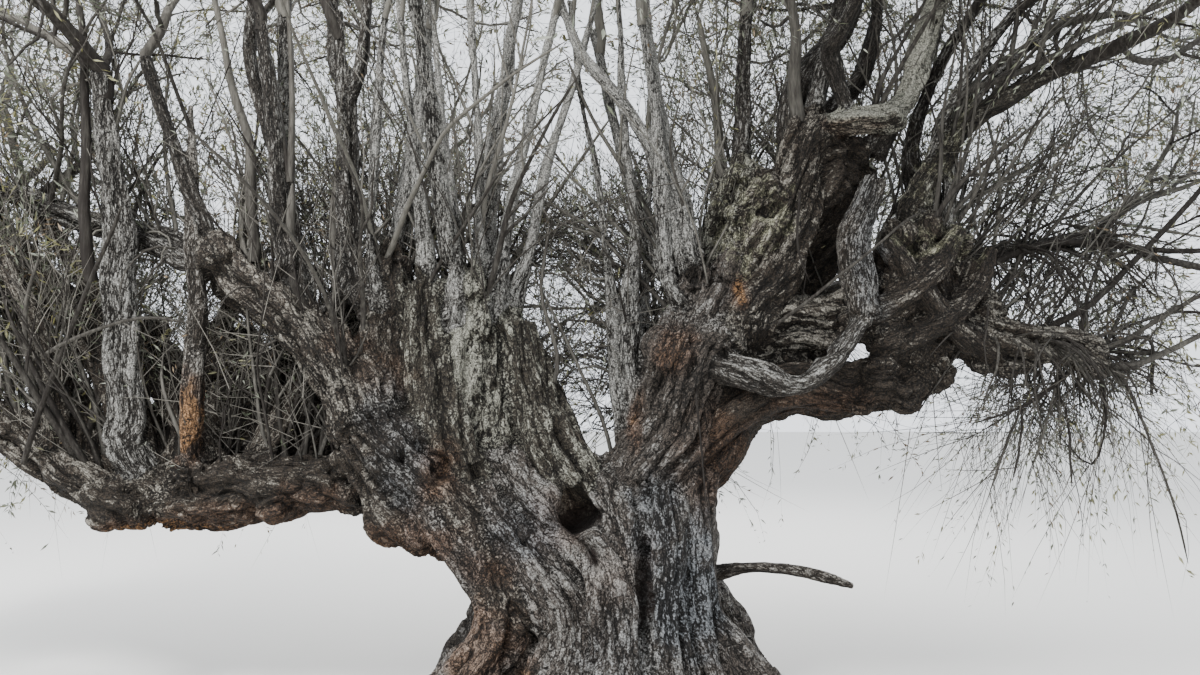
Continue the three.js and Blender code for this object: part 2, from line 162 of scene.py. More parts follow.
# Further thick limbs and stems that the CAD solids leave out. For each piece: strands, turns per metre,
# tone, then x, y, z and girth radius in centimetres.
# The tones above 1, on the stems in the middle of the crown, are painted haze light.
EXTRAS = [(piece, strands, turns, tone, metres(rows)) for piece, limbs in [
    ("wood_right_hub", [
        (4, 0.25, 0.12, [(94, 6, 240, 12), (104, 8, 262, 17), (116, 8, 274, 17), (130, 6, 270, 11)])]),
    ("wood_left_thicket", [
        (3, 0.14, 0.32, [(-120, 26, 124, 10), (-150, 36, 146, 8.5), (-176, 40, 182, 6.5), (-192, 44, 230, 4)]),
        (3, 0.14, 0.26, [(-102, 22, 142, 11), (-128, 34, 172, 8.5), (-144, 42, 206, 6), (-152, 46, 250, 3.8)]),
        (3, 0.14, 0.38, [(-234, 24, 98, 10), (-208, 42, 130, 8), (-180, 48, 156, 6.5), (-162, 52, 196, 4.5)]),
        (4, 0.14, 0.22, [(-230, 30, 100, 10.5), (-186, 34, 114, 11), (-146, 30, 126, 12),
          (-106, 20, 134, 13)])]),
    ("wood_low_limb", [
        (3, 0.3, 0.62, [(44, -6, 64, 5.5), (62, -13, 70, 4), (86, -15, 69, 3.2), (104, -15, 65, 2.8),
          (116, -14, 61, 1.6)])]),
    ("wood_left_stub", [
        (3, 0.14, 0.66, [(-210, 5, 134, 5.8), (-209, 2, 162, 6.2), (-208, 3, 194, 5.4), (-212, 4, 230, 4.4),
          (-214, 5, 270, 3), (-216, 5, 302, 1.6)])]),
    ("wood_right_hub", [
        (4, 0.3, 0, [(70, 20, 180, 13), (98, 22, 212, 14), (120, 20, 244, 13), (130, 16, 274, 10)]),
        (4, 0.35, 0.22, [(48, 10, 174, 15), (64, 14, 205, 15), (82, 14, 234, 15), (94, 12, 262, 13),
          (106, 8, 290, 9)]),
        (3, 0.3, 0.46, [(116, -10, 186, 7), (138, -19, 198, 7.5), (156, -21, 214, 7.2), (171, -15, 234, 4.6)]),
        (3, 0.3, 0.34, [(136, -14, 176, 7), (160, -18, 188, 7.5), (179, -12, 204, 6.8), (190, -6, 226, 4.2)]),
        (3, 0.3, 0.42, [(134, -15, 228, 5), (150, -20, 204, 6.6), (168, -15, 184, 6.6), (190, -6, 172, 5.5)])]),
    ("wood_right_stems", [
        (4, 0.15, 0.3, [(102, 8, 260, 12), (93, 6, 286, 9.5), (97, 6, 312, 7.5), (110, 8, 330, 7),
          (122, 8, 348, 7.5), (126, 8, 372, 7)]),
        (3, 0.18, 0.4, [(134, 4, 276, 8.5), (144, 3, 292, 7.2), (153, 3, 308, 6), (162, 3, 324, 5.5),
          (169, 4, 344, 5), (170, 4, 370, 4.4)]),
        (3, 0.2, 0.66, [(146, -4, 206, 7.5), (152, -5, 234, 5.2), (160, -5, 266, 4.2), (170, -5, 294, 3.8),
          (188, -5, 324, 3.4), (208, -5, 350, 3)]),
        (3, 0.2, 0.7, [(162, -2, 204, 8), (169, -2, 236, 5), (172, -2, 270, 4), (182, 0, 298, 3.6),
          (202, 2, 320, 3.2), (234, 4, 344, 2.8)]),
        (3, 0.2, 0.4, [(156, 10, 210, 8), (160, 12, 244, 5.5), (158, 12, 286, 4.4), (174, 12, 326, 3.8),
          (198, 12, 364, 3.2)]),
        (0, 0.2, 0.34, [(106, 12, 284, 6), (118, 14, 304, 5.5), (132, 14, 320, 5), (140, 14, 346, 4.2),
          (142, 14, 374, 3.6)])]),
    ("wood_middle_stems", [
        (3, 0.1, 1.26, [(42, 2, 192, 8.5), (37, -2, 215, 4.9), (25, -2, 268, 3.9), (6, -2, 302, 3.4),
          (-15, 0, 328, 2.9), (-28, 2, 362, 2.4)]),
        (3, 0.1, 1.12, [(38, -4, 194, 7), (27, -6, 216, 4.1), (24, -6, 288, 3.4), (14, -4, 354, 2.8)])]),
    ("wood_left_stems", [
        (3, 0.12, 0.4, [(-158, 5, 196, 7), (-162, 6, 222, 5.8), (-168, 6, 260, 5), (-177, 6, 296, 4.4),
          (-186, 6, 325, 3.8), (-185, 6, 362, 3.2)]),
        (3, 0.12, 0.82, [(-156, 12, 200, 7.5), (-164, 14, 234, 6.4), (-170, 14, 262, 5.8), (-171, 14, 308, 5),
          (-171, 14, 366, 4)]),
        (3, 0.12, 0.5, [(-122, 10, 192, 8.5), (-134, 10, 230, 6.6), (-137, 10, 308, 5.6), (-144, 10, 326, 4.2),
          (-145, 10, 366, 3.6)]),
        (0, 0.12, 0.5, [(-137, 10, 302, 4.6), (-129, 10, 326, 4), (-127, 10, 366, 3.4)])]),
    ("wood_middle_stems", [
        (3, 0.1, 1.02, [(-114, 4, 198, 8.5), (-120, 0, 224, 4.3), (-120, 0, 262, 3.5), (-117, 0, 324, 2.9),
          (-114, 0, 358, 2.5)]),
        (3, 0.1, 1.18, [(-90, 6, 196, 9.5), (-93, 0, 226, 4.3), (-99, 0, 277, 3.1), (-105, 0, 324, 2.5),
          (-108, 0, 358, 2.1)]),
        (3, 0.1, 1.35, [(-76, -2, 190, 9.5), (-77, -6, 230, 4.1), (-85, -6, 290, 2.9), (-90, -6, 356, 2.2)]),
        (3, 0.1, 1.3, [(-66, 4, 194, 9.5), (-66, 0, 236, 3.8), (-67, 0, 292, 2.8), (-72, 0, 358, 2.1)]),
        (3, 0.1, 1.38, [(-60, 2, 192, 9), (-53, 0, 230, 3.9), (-46, 0, 266, 3.2), (-33, 0, 324, 2.5),
          (-26, 0, 358, 2.1)]),
        (0, 0.1, 1.32, [(-52, 8, 190, 8), (-41, 6, 226, 3.4), (-33, 6, 268, 2.8), (-18, 6, 316, 2.2),
          (-6, 6, 360, 1.8)]),
        (3, 0.08, 0.96, [(10, -2, 122, 7.5), (4, 8, 160, 5.8), (2, 10, 190, 5), (-2, 10, 227, 2.9),
          (-7, 10, 270, 2.5), (-15, 10, 306, 2.2), (-21, 10, 359, 1.8)]),
        (3, 0.08, 1.08, [(16, 2, 128, 8.5), (11, 4, 166, 6.6), (10, 4, 202, 5), (12, 5, 240, 2.9),
          (7, 6, 296, 2.4), (5, 6, 358, 1.8)]),
        (0, 0.08, 0.9, [(12, 10, 130, 6), (16, 14, 180, 4), (19, 16, 220, 2.2), (22, 18, 290, 1.7)])]),
    ("wood_middle_head", [
        (4, 0.1, 0.5, [(-48, 2, 186, 12), (-40, -2, 156, 14), (-30, -8, 130, 15), (-14, -14, 108, 14)]),
        (4, 0.12, 0.34, [(-98, 4, 208, 12), (-92, 0, 176, 15), (-84, -6, 142, 16), (-70, -12, 114, 15)])]),
    ("wood_left_thicket", [
        (4, 0.16, 0.28, [(-366, 52, 272, 6), (-340, 50, 242, 8.5), (-302, 44, 205, 10.5), (-262, 32, 162, 11.5),
          (-240, 20, 114, 12)]),
        (4, 0.16, 0.34, [(-372, 66, 234, 7), (-345, 60, 212, 8.5), (-310, 50, 178, 10), (-278, 34, 134, 11),
          (-270, 22, 106, 11)]),
        (3, 0.14, 0.44, [(-324, 50, 260, 4.5), (-283, 40, 210, 6.5), (-240, 30, 162, 8), (-204, 18, 116, 9)]),
        (3, 0.14, 0.46, [(-206, 62, 270, 4), (-210, 50, 206, 5.5), (-220, 36, 166, 7), (-224, 20, 116, 8.5)]),
        (3, 0.14, 0.4, [(-130, 40, 230, 4), (-144, 30, 193, 5), (-164, 26, 158, 6.5), (-184, 16, 114, 8)]),
        (3, 0.14, 0.5, [(-330, 10, 250, 4), (-306, 14, 206, 5.5), (-290, 18, 162, 7), (-286, 20, 120, 8.5)])]),
] for strands, turns, tone, rows in limbs]
# Burls, swellings and knobs: x, y, z and radius in centimetres, and height in hundredths of its width.
BURLS = metres([
    (-143, -2, 109, 15.5, 90), (-126, -3, 103, 12, 90), (-164, 2, 102, 12, 80), (-96, -12, 130, 15, 100),
    (-105, 5, 198, 11, 80), (-124, 8, 202, 10, 80), (-86, 6, 202, 12, 90), (-72, 2, 206, 13, 80),
    (-60, 10, 202, 11, 80), (-66, -2, 186, 10, 100), (-82, -2, 180, 8, 100), (-50, 2, 184, 9, 100),
    (156, -7, 216, 14, 90), (144, -8, 202, 15, 90), (166, -4, 198, 15, 80), (138, -10, 182, 14, 100),
    (178, -3, 180, 12, 80), (186, -2, 169, 8.5, 70), (198, -2, 166, 7.5, 70), (208, 0, 167, 6.5, 70),
    (240, -2, 170, 9, 120), (66, -5, 214, 12, 110), (74, -5, 230, 14, 100), (66, -6, 242, 11, 90),
    (76, -5, 250, 13, 100), (69, -4, 262, 10, 90), (80, -2, 238, 11, 90), (62, 8, 218, 13, 110),
    (72, 8, 236, 13, 110), (60, 12, 246, 10, 100), (74, 10, 256, 9, 100), (30, -10, 172, 16, 110),
    (56, -10, 180, 13, 90), (102, -10, 280, 10, 100), (140, -10, 290, 9, 90), (130, -12, 162, 12, 90),
    (-248, 5, 98, 14, 90), (-212, 5, 112, 11, 90), (-190, 6, 114, 10, 80), (-280, 20, 112, 14, 90),
    (-310, 24, 134, 13, 90), (-200, 4, 224, 12, 90), (146, -8, 230, 10, 90), (158, -6, 236, 9, 80),
    (170, -4, 228, 10, 90), (172, 5, 213, 16, 90), (186, 4, 196, 13, 80), (-95, -14, 95, 16.5, 90),
    (-102, -12, 98, 17, 100), (-87, -16, 91, 15, 90), (-242, 42, 166, 13, 120), (-234, 40, 142, 14, 110),
    (-250, 44, 186, 10, 120), (-198, 40, 144, 20, 110), (-174, 42, 126, 18, 100), (-202, 44, 172, 15, 120),
    (-162, 38, 144, 16, 100), (-180, 44, 162, 15, 110), (-216, 40, 122, 16, 90), (-2, -2, 114, 11, 80),
    (142, -8, 152, 11, 80), (122, -8, 149, 10, 70),
])
# Hollows and clefts pressed into the wood: x, y, z, half sizes in x, y, z, and depth, in centimetres.
HOLLOWS = metres([
    (-18, -40, 94, 11.5, 60, 15, 15), (-9.5, -42, 82, 7.5, 30, 9, 9), (15.5, -42, 62, 3.5, 25, 24, 7.5),
    (16.5, -42, 98, 3, 25, 20, 5), (-80, -20, 114, 4.8, 25, 12, 6.2), (-96.8, -30, 124.2, 3, 15, 3.6, 6),
    (-45, -48, 28, 3, 25, 28, 6), (-46, -36, 86, 11, 20, 3.5, 4), (33, -42, 50, 2.2, 25, 22, 4.5),
    (50, -22, 34, 3, 20, 20, 5), (10, 56, 55, 5.5, 25, 26, 9), (-42, 46, 42, 4, 25, 24, 7),
    (-70, -5, 162, 3.5, 22, 22, 5), (105, -16, 172, 10, 20, 3, 4.5),
])
# Coloured patches of the wood: x, y, z, half sizes in x, y, z in centimetres, and strength in hundredths.
RUST = metres([
    (-60, -45, 36, 26, 40, 30, 68), (-48, -45, 10, 16, 30, 20, 60), (-90, -30, 84, 30, 30, 14, 64),
    (-81, -22, 114, 11, 25, 22, 68), (-230, 10, 84, 60, 40, 10, 80), (-180, 5, 92, 50, 40, 10, 48),
    (11, -20, 142, 6, 30, 20, 80), (31, -20, 174, 12, 30, 16, 68), (63, 0, 202, 6, 25, 11, 88),
    (-211, 0, 140, 9, 20, 27, 98), (50, -10, 124, 28, 30, 30, 42), (-25, -35, 95, 16, 30, 15, 56),
    (120, -12, 285, 24, 20, 4, 52), (-40, -45, 25, 7, 30, 17, 82), (-132, 0, 178, 16, 30, 8, 40),
    (-112, -5, 162, 20, 30, 12, 32), (2, -45, 70, 16, 30, 14, 28), (-2, 50, 30, 30, 30, 24, 40),
    (95, 20, 130, 30, 30, 16, 32), (-56, -36, 74, 16, 30, 10, 46), (16, -42, 78, 5, 30, 16, 50),
    (100, -10, 148, 36, 20, 10, 40), (-144, -5, 100, 24, 30, 12, 44),
])
BARE = metres([
    (36, -40, 62, 24, 35, 40, 95), (22, -40, 98, 16, 30, 26, 70), (-38, -42, 92, 22, 30, 16, 60),
    (-98, -20, 120, 16, 30, 24, 50), (10, -45, 40, 30, 30, 30, 35), (-110, -20, 144, 14, 30, 20, 40),
    (40, 40, 60, 25, 35, 35, 60), (124, -20, 225, 12, 20, 40, 55),
])
MOSS = metres([
    (69, -5, 242, 30, 42, 44, 100), (160, -10, 228, 36, 40, 20, 95), (170, -5, 275, 30, 36, 60, 90),
    (-12, -20, 116, 20, 30, 12, 50), (-66, 0, 170, 26, 40, 34, 45), (120, -5, 298, 30, 36, 10, 30),
    (-140, 10, 130, 40, 30, 12, 35), (55, -25, 162, 40, 25, 10, 35),
])


class Settings(bpy.types.PropertyGroup):
    """Sizes and colours of the olive tree that a user would change"""
    voxel: bpy.props.FloatProperty(
        name="Wood detail", description="Size of the smallest relief modelled on the wood",
        default=0.0118, min=0.006, max=0.05, unit="LENGTH")
    relief: bpy.props.FloatProperty(
        name="Bark relief", description="How deep the flutes and strands of the wood are",
        default=1.0, min=0.0, max=2.0, subtype="FACTOR")
    twig_length: bpy.props.FloatProperty(
        name="Twig length", description="Length of a usual twig", default=0.52, min=0.1, max=1.0,
        unit="LENGTH")
    twig_count: bpy.props.IntProperty(
        name="Twigs", description="How many twigs the crown carries",
        default=28000, min=100, max=40000)
    leaf_length: bpy.props.FloatProperty(
        name="Leaf length", description="Length of a usual leaf", default=0.038, min=0.03, max=0.1,
        unit="LENGTH")
    leaf_count: bpy.props.IntProperty(
        name="Leaves", description="How many leaves the crown carries",
        default=178000, min=100, max=200000)
    # The groove colour holds painted shade as well as the bark's own dark, and the crest colour holds painted
    # highlight as well as weathered grey.
    deep_colour: bpy.props.FloatVectorProperty(
        name="Groove colour", description="Colour down in the cracks of the bark",
        default=(0.005, 0.004, 0.003), size=3, min=0, max=1, subtype="COLOR")
    bark_colour: bpy.props.FloatVectorProperty(
        name="Bark colour", description="Colour of the sides of the strands",
        default=(0.034, 0.028, 0.0225), size=3, min=0, max=1, subtype="COLOR")
    crest_colour: bpy.props.FloatVectorProperty(
        name="Crest colour", description="Colour of the weathered crests of the bark",
        default=(0.235, 0.224, 0.202), size=3, min=0, max=1, subtype="COLOR")
    floor_colour: bpy.props.FloatVectorProperty(
        name="Floor colour", description="Colour of the plain floor",
        default=(0.66, 0.65, 0.62), size=3, min=0, max=1, subtype="COLOR")
    eye_height: bpy.props.FloatProperty(
        name="Eye height", description="Height of the camera over the ground", default=VIEW_SPOT[2],
        min=0.2, max=4.0, unit="LENGTH")


class Lattice:
    """Smooth seeded noise on points, about -1 to 1"""

    def __init__(self, seed):
        draw = np.random.default_rng(seed)
        self.order = draw.permutation(256).astype(np.int32)
        slopes = draw.normal(size=(256, 3))
        self.slopes = (slopes / np.linalg.norm(slopes, axis=1)[:, None]).astype(np.float32)

    def __call__(self, points):
        cell = np.floor(points).astype(np.int32)
        part = (points - cell).astype(np.float32)
        ease = part * part * part * (part * (part * 6 - 15) + 10)
        total = np.zeros(len(points), np.float32)
        for x in (0, 1):
            row = self.order[(cell[:, 0] + x) & 255]
            near_x = ease[:, 0] if x else 1 - ease[:, 0]
            for y in (0, 1):
                column = self.order[(row + cell[:, 1] + y) & 255]
                near_xy = near_x * (ease[:, 1] if y else 1 - ease[:, 1])
                for z in (0, 1):
                    slope = self.slopes[self.order[(column + cell[:, 2] + z) & 255]]
                    near = near_xy * (ease[:, 2] if z else 1 - ease[:, 2])
                    total += near * (slope[:, 0] * (part[:, 0] - x) + slope[:, 1] * (part[:, 1] - y)
                                     + slope[:, 2] * (part[:, 2] - z))
        return total * 1.6


def unit(vectors):
    """Rows of x, y, z made one long"""
    return vectors / np.maximum(np.linalg.norm(vectors, axis=-1, keepdims=True), 1e-9)


def step01(low, high, value):
    """0 at low and 1 at high, with a smooth way between; low may be the larger"""
    t = np.clip((value - low) / (high - low), 0, 1)
    return t * t * (3 - 2 * t)


def far_from(spots, row):
    """How far spots are from the row's middle, in its half sizes, squared"""
    return (((spots - row[:3]) / row[3:6]) ** 2).sum(1)


def lengths_along(line):
    """How far along a line each of its points is"""
    return np.concatenate([[0], np.cumsum(np.linalg.norm(np.diff(line, axis=0), axis=1))])


def curve_through(points, step=STEP):
    """A smooth curve through rows of x, y, z and any more columns, at even steps"""
    points = np.asarray(points, float)
    length = lengths_along(points[:, :3])
    at = np.linspace(0, length[-1], max(3, math.ceil(length[-1] / step) + 1))
    i = np.clip(np.searchsorted(length, at, side="right") - 1, 0, len(points) - 2)
    u = ((at - length[i]) / (length[i + 1] - length[i]))[:, None]
    padded = np.vstack([2 * points[0] - points[1], points, 2 * points[-1] - points[-2]])
    a, b, c, d = (padded[i + k] for k in range(4))
    return 0.5 * (2 * b + (c - a) * u + (2 * a - 5 * b + 4 * c - d) * u ** 2
                  + (3 * b - a - 3 * c + d) * u ** 3)


def frames_along(line):
    """Unit tangents and two unit sides carried along a line without turning about it"""
    tangent = unit(np.gradient(line, axis=0))
    side = np.empty_like(line)
    start = np.cross(tangent[0], (0.31, 0.22, 0.93))
    side[0] = start / np.linalg.norm(start)
    for k in range(1, len(line)):
        moved = side[k - 1] - tangent[k] * (side[k - 1] @ tangent[k])
        side[k] = moved / max(np.linalg.norm(moved), 1e-9)
    return tangent, side, np.cross(tangent, side)


def read(items, field, width, kind):
    """A field of many mesh items as rows of numbers"""
    values = np.empty(len(items) * width, kind)
    items.foreach_get(field, values)
    return values.reshape(-1, width)


def node_triangles(name):
    """Vertices and triangles of a CAD node"""
    mesh = NODES[name].data
    mesh.calc_loop_triangles()
    spots = read(mesh.vertices, "co", 3, np.float32).astype(float)
    return spots, read(mesh.loop_triangles, "vertices", 3, np.int32)


def surface_spots(name, count, draw):
    """Spots spread evenly over a CAD node"""
    spots, corners = node_triangles(name)
    a, b, c = (spots[corners[:, k]] for k in range(3))
    area = np.linalg.norm(np.cross(b - a, c - a), axis=1)
    pick = draw.choice(len(corners), count, p=area / area.sum())
    u, v = draw.random(count), draw.random(count)
    over = u + v > 1
    u[over], v[over] = 1 - u[over], 1 - v[over]
    return a[pick] + u[:, None] * (b - a)[pick] + v[:, None] * (c - a)[pick]


def limb_path(name, draw):
    """The middle line and girth radius of a CAD limb, from the foot to the tip, as x, y, z, radius"""
    spots = surface_spots(name, 5000, draw)
    middle = spots.mean(0)
    axis = np.linalg.svd(spots - middle, full_matrices=False)[2][0]
    along = (spots - middle) @ axis
    slices = int(np.clip(np.ptp(along) / 0.11, 5, 14))
    edges = np.linspace(along.min(), along.max() + 1e-6, slices + 1)
    rows = []
    for low, high in zip(edges, edges[1:]):
        part = spots[(along >= low) & (along < high)]
        centre = part.mean(0)
        rows.append((*centre, np.linalg.norm(np.cross(part - centre, axis), axis=1).mean()))
    rows = np.array(rows)
    heart = np.array((0.0, 0.0, 0.9))
    if np.linalg.norm(rows[0, :3] - heart) > np.linalg.norm(rows[-1, :3] - heart):
        rows = rows[::-1]
    rows[:2, 3] = np.maximum(rows[:2, 3], rows[2, 3])
    rows[-2:, 3] = np.maximum(rows[-2:, 3], rows[-3, 3] * 0.9)
    first = rows[0] + 0.5 * (rows[0] - rows[1])
    last = rows[-1] + 0.5 * (rows[-1] - rows[-2])
    first[3], last[3] = rows[0, 3], rows[-1, 3]
    return np.vstack([first, rows, last])


def arrays_of(shape):
    """Vertices and faces of a bmesh, which is freed"""
    shape.verts.index_update()
    spots = np.array([v.co for v in shape.verts])
    faces = [[v.index for v in f.verts] for f in shape.faces]
    shape.free()
    return spots, faces


class Parts:
    """Vertices and faces of many small bmeshes, gathered into one list"""

    def __init__(self):
        self.spots, self.faces, self.count = [], [], 0

    def take(self, shape):
        spots, faces = arrays_of(shape)
        self.faces += [[k + self.count for k in face] for face in faces]
        self.spots.append(spots)
        self.count += len(spots)


def extruded(shape, edges):
    """Extrudes edges once and gives the new rim's vertices and edges"""
    grown = bmesh.ops.extrude_edge_only(shape, edges=edges)["geom"]
    rim = [g for g in grown if isinstance(g, bmesh.types.BMVert)]
    inside = set(rim)
    return rim, [g for g in grown if isinstance(g, bmesh.types.BMEdge) and set(g.verts) <= inside]


def tube(path, sides):
    """A closed bmesh tube along rows of x, y, z, radius"""
    places = []
    tangent, side, third = frames_along(path[:, :3])
    for *axes, row in zip(side, third, tangent, path):
        place = Matrix([[*(axis * row[3]), 0] for axis in axes] + [[0, 0, 0, 1]])
        place.transpose()
        place.translation = row[:3]
        places.append(place)
    shape = bmesh.new()
    bmesh.ops.create_circle(shape, cap_ends=True, segments=sides, radius=1.0, matrix=places[0])
    edges = shape.edges[:]
    for before, after in zip(places, places[1:]):
        rim, edges = extruded(shape, edges)
        bmesh.ops.transform(shape, matrix=after @ before.inverted(), verts=rim)
    bmesh.ops.contextual_create(shape, geom=edges)
    return shape


def placed(name, data):
    """A new object in the scene"""
    thing = bpy.data.objects.new(name, data)
    bpy.context.scene.collection.objects.link(thing)
    return thing


def mesh_from(name, spots, faces, materials, mark=None):
    """A mesh object from arrays: faces all of one width, mark is a material index for each face"""
    faces = np.asarray(faces, np.int32)
    mesh = bpy.data.meshes.new(name)
    mesh.vertices.add(len(spots))
    mesh.vertices.foreach_set("co", np.asarray(spots, np.float32).ravel())
    mesh.loops.add(faces.size)
    mesh.loops.foreach_set("vertex_index", faces.ravel())
    mesh.polygons.add(len(faces))
    mesh.polygons.foreach_set("loop_start", np.arange(0, faces.size, faces.shape[1], dtype=np.int32))
    mesh.polygons.foreach_set("use_smooth", np.ones(len(faces), bool))
    for material in materials:
        mesh.materials.append(material)
    if mark is not None:
        mesh.polygons.foreach_set("material_index", np.asarray(mark, np.int32))
    mesh.update(calc_edges=True)
    return placed(name, mesh)


def many_of(name, faces, spots, materials, mark=None):
    """One mesh of a small pattern many times over: its faces, and for each time its spots"""
    index = np.array(faces) + (np.arange(len(spots)) * spots.shape[1])[:, None, None]
    return mesh_from(name, inside_box(spots.reshape(-1, 3)), index.reshape(-1, 3), materials, mark)


def store(thing, name, values):
    """Keeps one number, or one x, y, z, for each vertex as a named attribute"""
    values = np.asarray(values, np.float32)
    kind, field = ("FLOAT_VECTOR", "vector") if values.ndim == 2 else ("FLOAT", "value")
    thing.data.attributes.new(name, kind, "POINT").data.foreach_set(field, values.ravel())


def finish_piece(thing, slot, nodes=()):
    """Attaches a piece to the root body and hides the CAD nodes it stands for. The slot is not used."""
    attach(thing, "root")
    if nodes:
        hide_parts(*nodes)


class Tree:
    """A short way to lay nodes in a material or a group"""

    def __init__(self, tree):
        self.tree = tree

    def feed(self, sockets, values):
        """Links each socket to what feeds it, or sets its value"""
        for key, value in values.items():
            if isinstance(value, bpy.types.NodeSocket):
                self.tree.links.new(value, sockets[key])
            else:
                sockets[key].default_value = value

    def add(self, kind, inputs=None, **settings):
        node = self.tree.nodes.new(kind)
        for key, value in settings.items():
            setattr(node, key, value)
        self.feed(node.inputs, inputs or {})
        return node

    def maths(self, operation, a, b=0.0):
        return self.add("ShaderNodeMath", {0: a, 1: b}, operation=operation).outputs[0]

    def vectors(self, operation, a, b):
        return self.add("ShaderNodeVectorMath", {0: a, 1: b}, operation=operation).outputs[0]

    def total(self, *terms):
        """The sum of values, each times its weight; one with no weight is taken as it is"""
        parts = [value if weight is None else self.maths("MULTIPLY", value, weight) for value, weight in terms]
        return functools.reduce(lambda a, b: self.maths("ADD", a, b), parts)

    def centred(self, value):
        return self.maths("SUBTRACT", value, 0.5)

    def ramp(self, value, low, high):
        node = self.add("ShaderNodeMapRange", {"Value": value, "From Min": low, "From Max": high},
                        interpolation_type="SMOOTHSTEP")
        return node.outputs["Result"]

    def mix(self, amount, a, b, blend="MIX"):
        node = self.add("ShaderNodeMix", data_type="RGBA", blend_type=blend)
        a, b = (c if isinstance(c, bpy.types.NodeSocket) else (*c, 1.0) for c in (a, b))
        self.feed(node.inputs, {0: amount, 6: a, 7: b})
        return node.outputs[2]

    def noise(self, place, scale, output="Fac", **inputs):
        node = self.add("ShaderNodeTexNoise", {"Vector": place, "Scale": scale, **inputs})
        return node.outputs[output]

    def attribute(self, name, output="Fac"):
        return self.add("ShaderNodeAttribute", attribute_name=name).outputs[output]

    def place(self):
        return self.add("ShaderNodeTexCoord").outputs["Object"]


def new_material(name):
    """A material, a way to lay its nodes and the sockets of its shader"""
    material = bpy.data.materials.new(name)
    material.use_nodes = True
    tree = material.node_tree
    return material, Tree(tree), tree.nodes["Principled BSDF"].inputs


def group(name, inputs, outputs):
    """A new shader node group; an input without a value is a vector, all the others are numbers"""
    made = bpy.data.node_groups.new(name, "ShaderNodeTree")
    for label, value in inputs.items():
        kind = "NodeSocketVector" if value is None else "NodeSocketFloat"
        socket = made.interface.new_socket(label, in_out="INPUT", socket_type=kind)
        if value is not None:
            socket.default_value = value
    for label in outputs:
        made.interface.new_socket(label, in_out="OUTPUT", socket_type="NodeSocketFloat")
    tree = Tree(made)
    return made, tree, tree.add("NodeGroupInput").outputs, tree.add("NodeGroupOutput").inputs


def fibre_group():
    """Long fibres and small crumbs along the grain of the wood"""
    made, tree, given, out = group(
        "Wood fibres", {"Grain": None, "Place": None, "Steady": 1.0, "Fineness": 1.0},
        ("Fibre", "Crumb", "Blotch", "Plate", "Crack", "Grit"))
    grain, place, steady, fineness = (given[name] for name in ("Grain", "Place", "Steady", "Fineness"))
    pulled = tree.vectors("MULTIPLY", tree.noise(place, 26.0, "Color", Detail=2.0), (1.1, 1.1, 1.1))
    blocks = tree.vectors("ADD", tree.vectors("MULTIPLY", grain, (44.0, 44.0, 17.0)), pulled)
    plates = tree.add("ShaderNodeTexVoronoi", {"Vector": blocks, "Scale": fineness})
    rims = tree.add("ShaderNodeTexVoronoi", {"Vector": blocks, "Scale": fineness}, feature="DISTANCE_TO_EDGE")
    fibres = tree.noise(tree.vectors("MULTIPLY", grain, (62.0, 62.0, 12.0)), fineness,
                        Detail=3.0, Roughness=0.6, Distortion=0.4)
    strands = tree.ramp(tree.maths("ABSOLUTE", tree.centred(fibres)), 0.0, 0.13)
    loose = tree.ramp(tree.noise(place, 95.0, Detail=2.0, Roughness=0.6), 0.36, 0.64)
    tree.feed(out, {
        "Fibre": tree.total((strands, steady), (loose, tree.maths("SUBTRACT", 1.0, steady))),
        "Crumb": loose,
        "Blotch": tree.noise(place, 5.5, Detail=4.0, Roughness=0.65),
        "Plate": tree.add("ShaderNodeSeparateColor", {"Color": plates.outputs["Color"]}).outputs["Red"],
        "Crack": tree.ramp(rims.outputs["Distance"], 0.01, 0.16),
        "Grit": tree.ramp(tree.noise(place, 150.0, Detail=1.0), 0.36, 0.64),
    })
    return made


def lichen_group():
    """Ragged patches of lichen, more of them where the cover is high"""
    made, tree, given, out = group("Lichen patches", {"Place": None, "Cover": 0.5, "Size": 26.0}, ("Mask",))
    patches = tree.noise(given["Place"], given["Size"], Detail=5.0, Roughness=0.75, Distortion=0.6)
    tree.feed(out, {"Mask": tree.ramp(tree.maths("ADD", patches, given["Cover"]), 0.86, 1.06)})
    return made


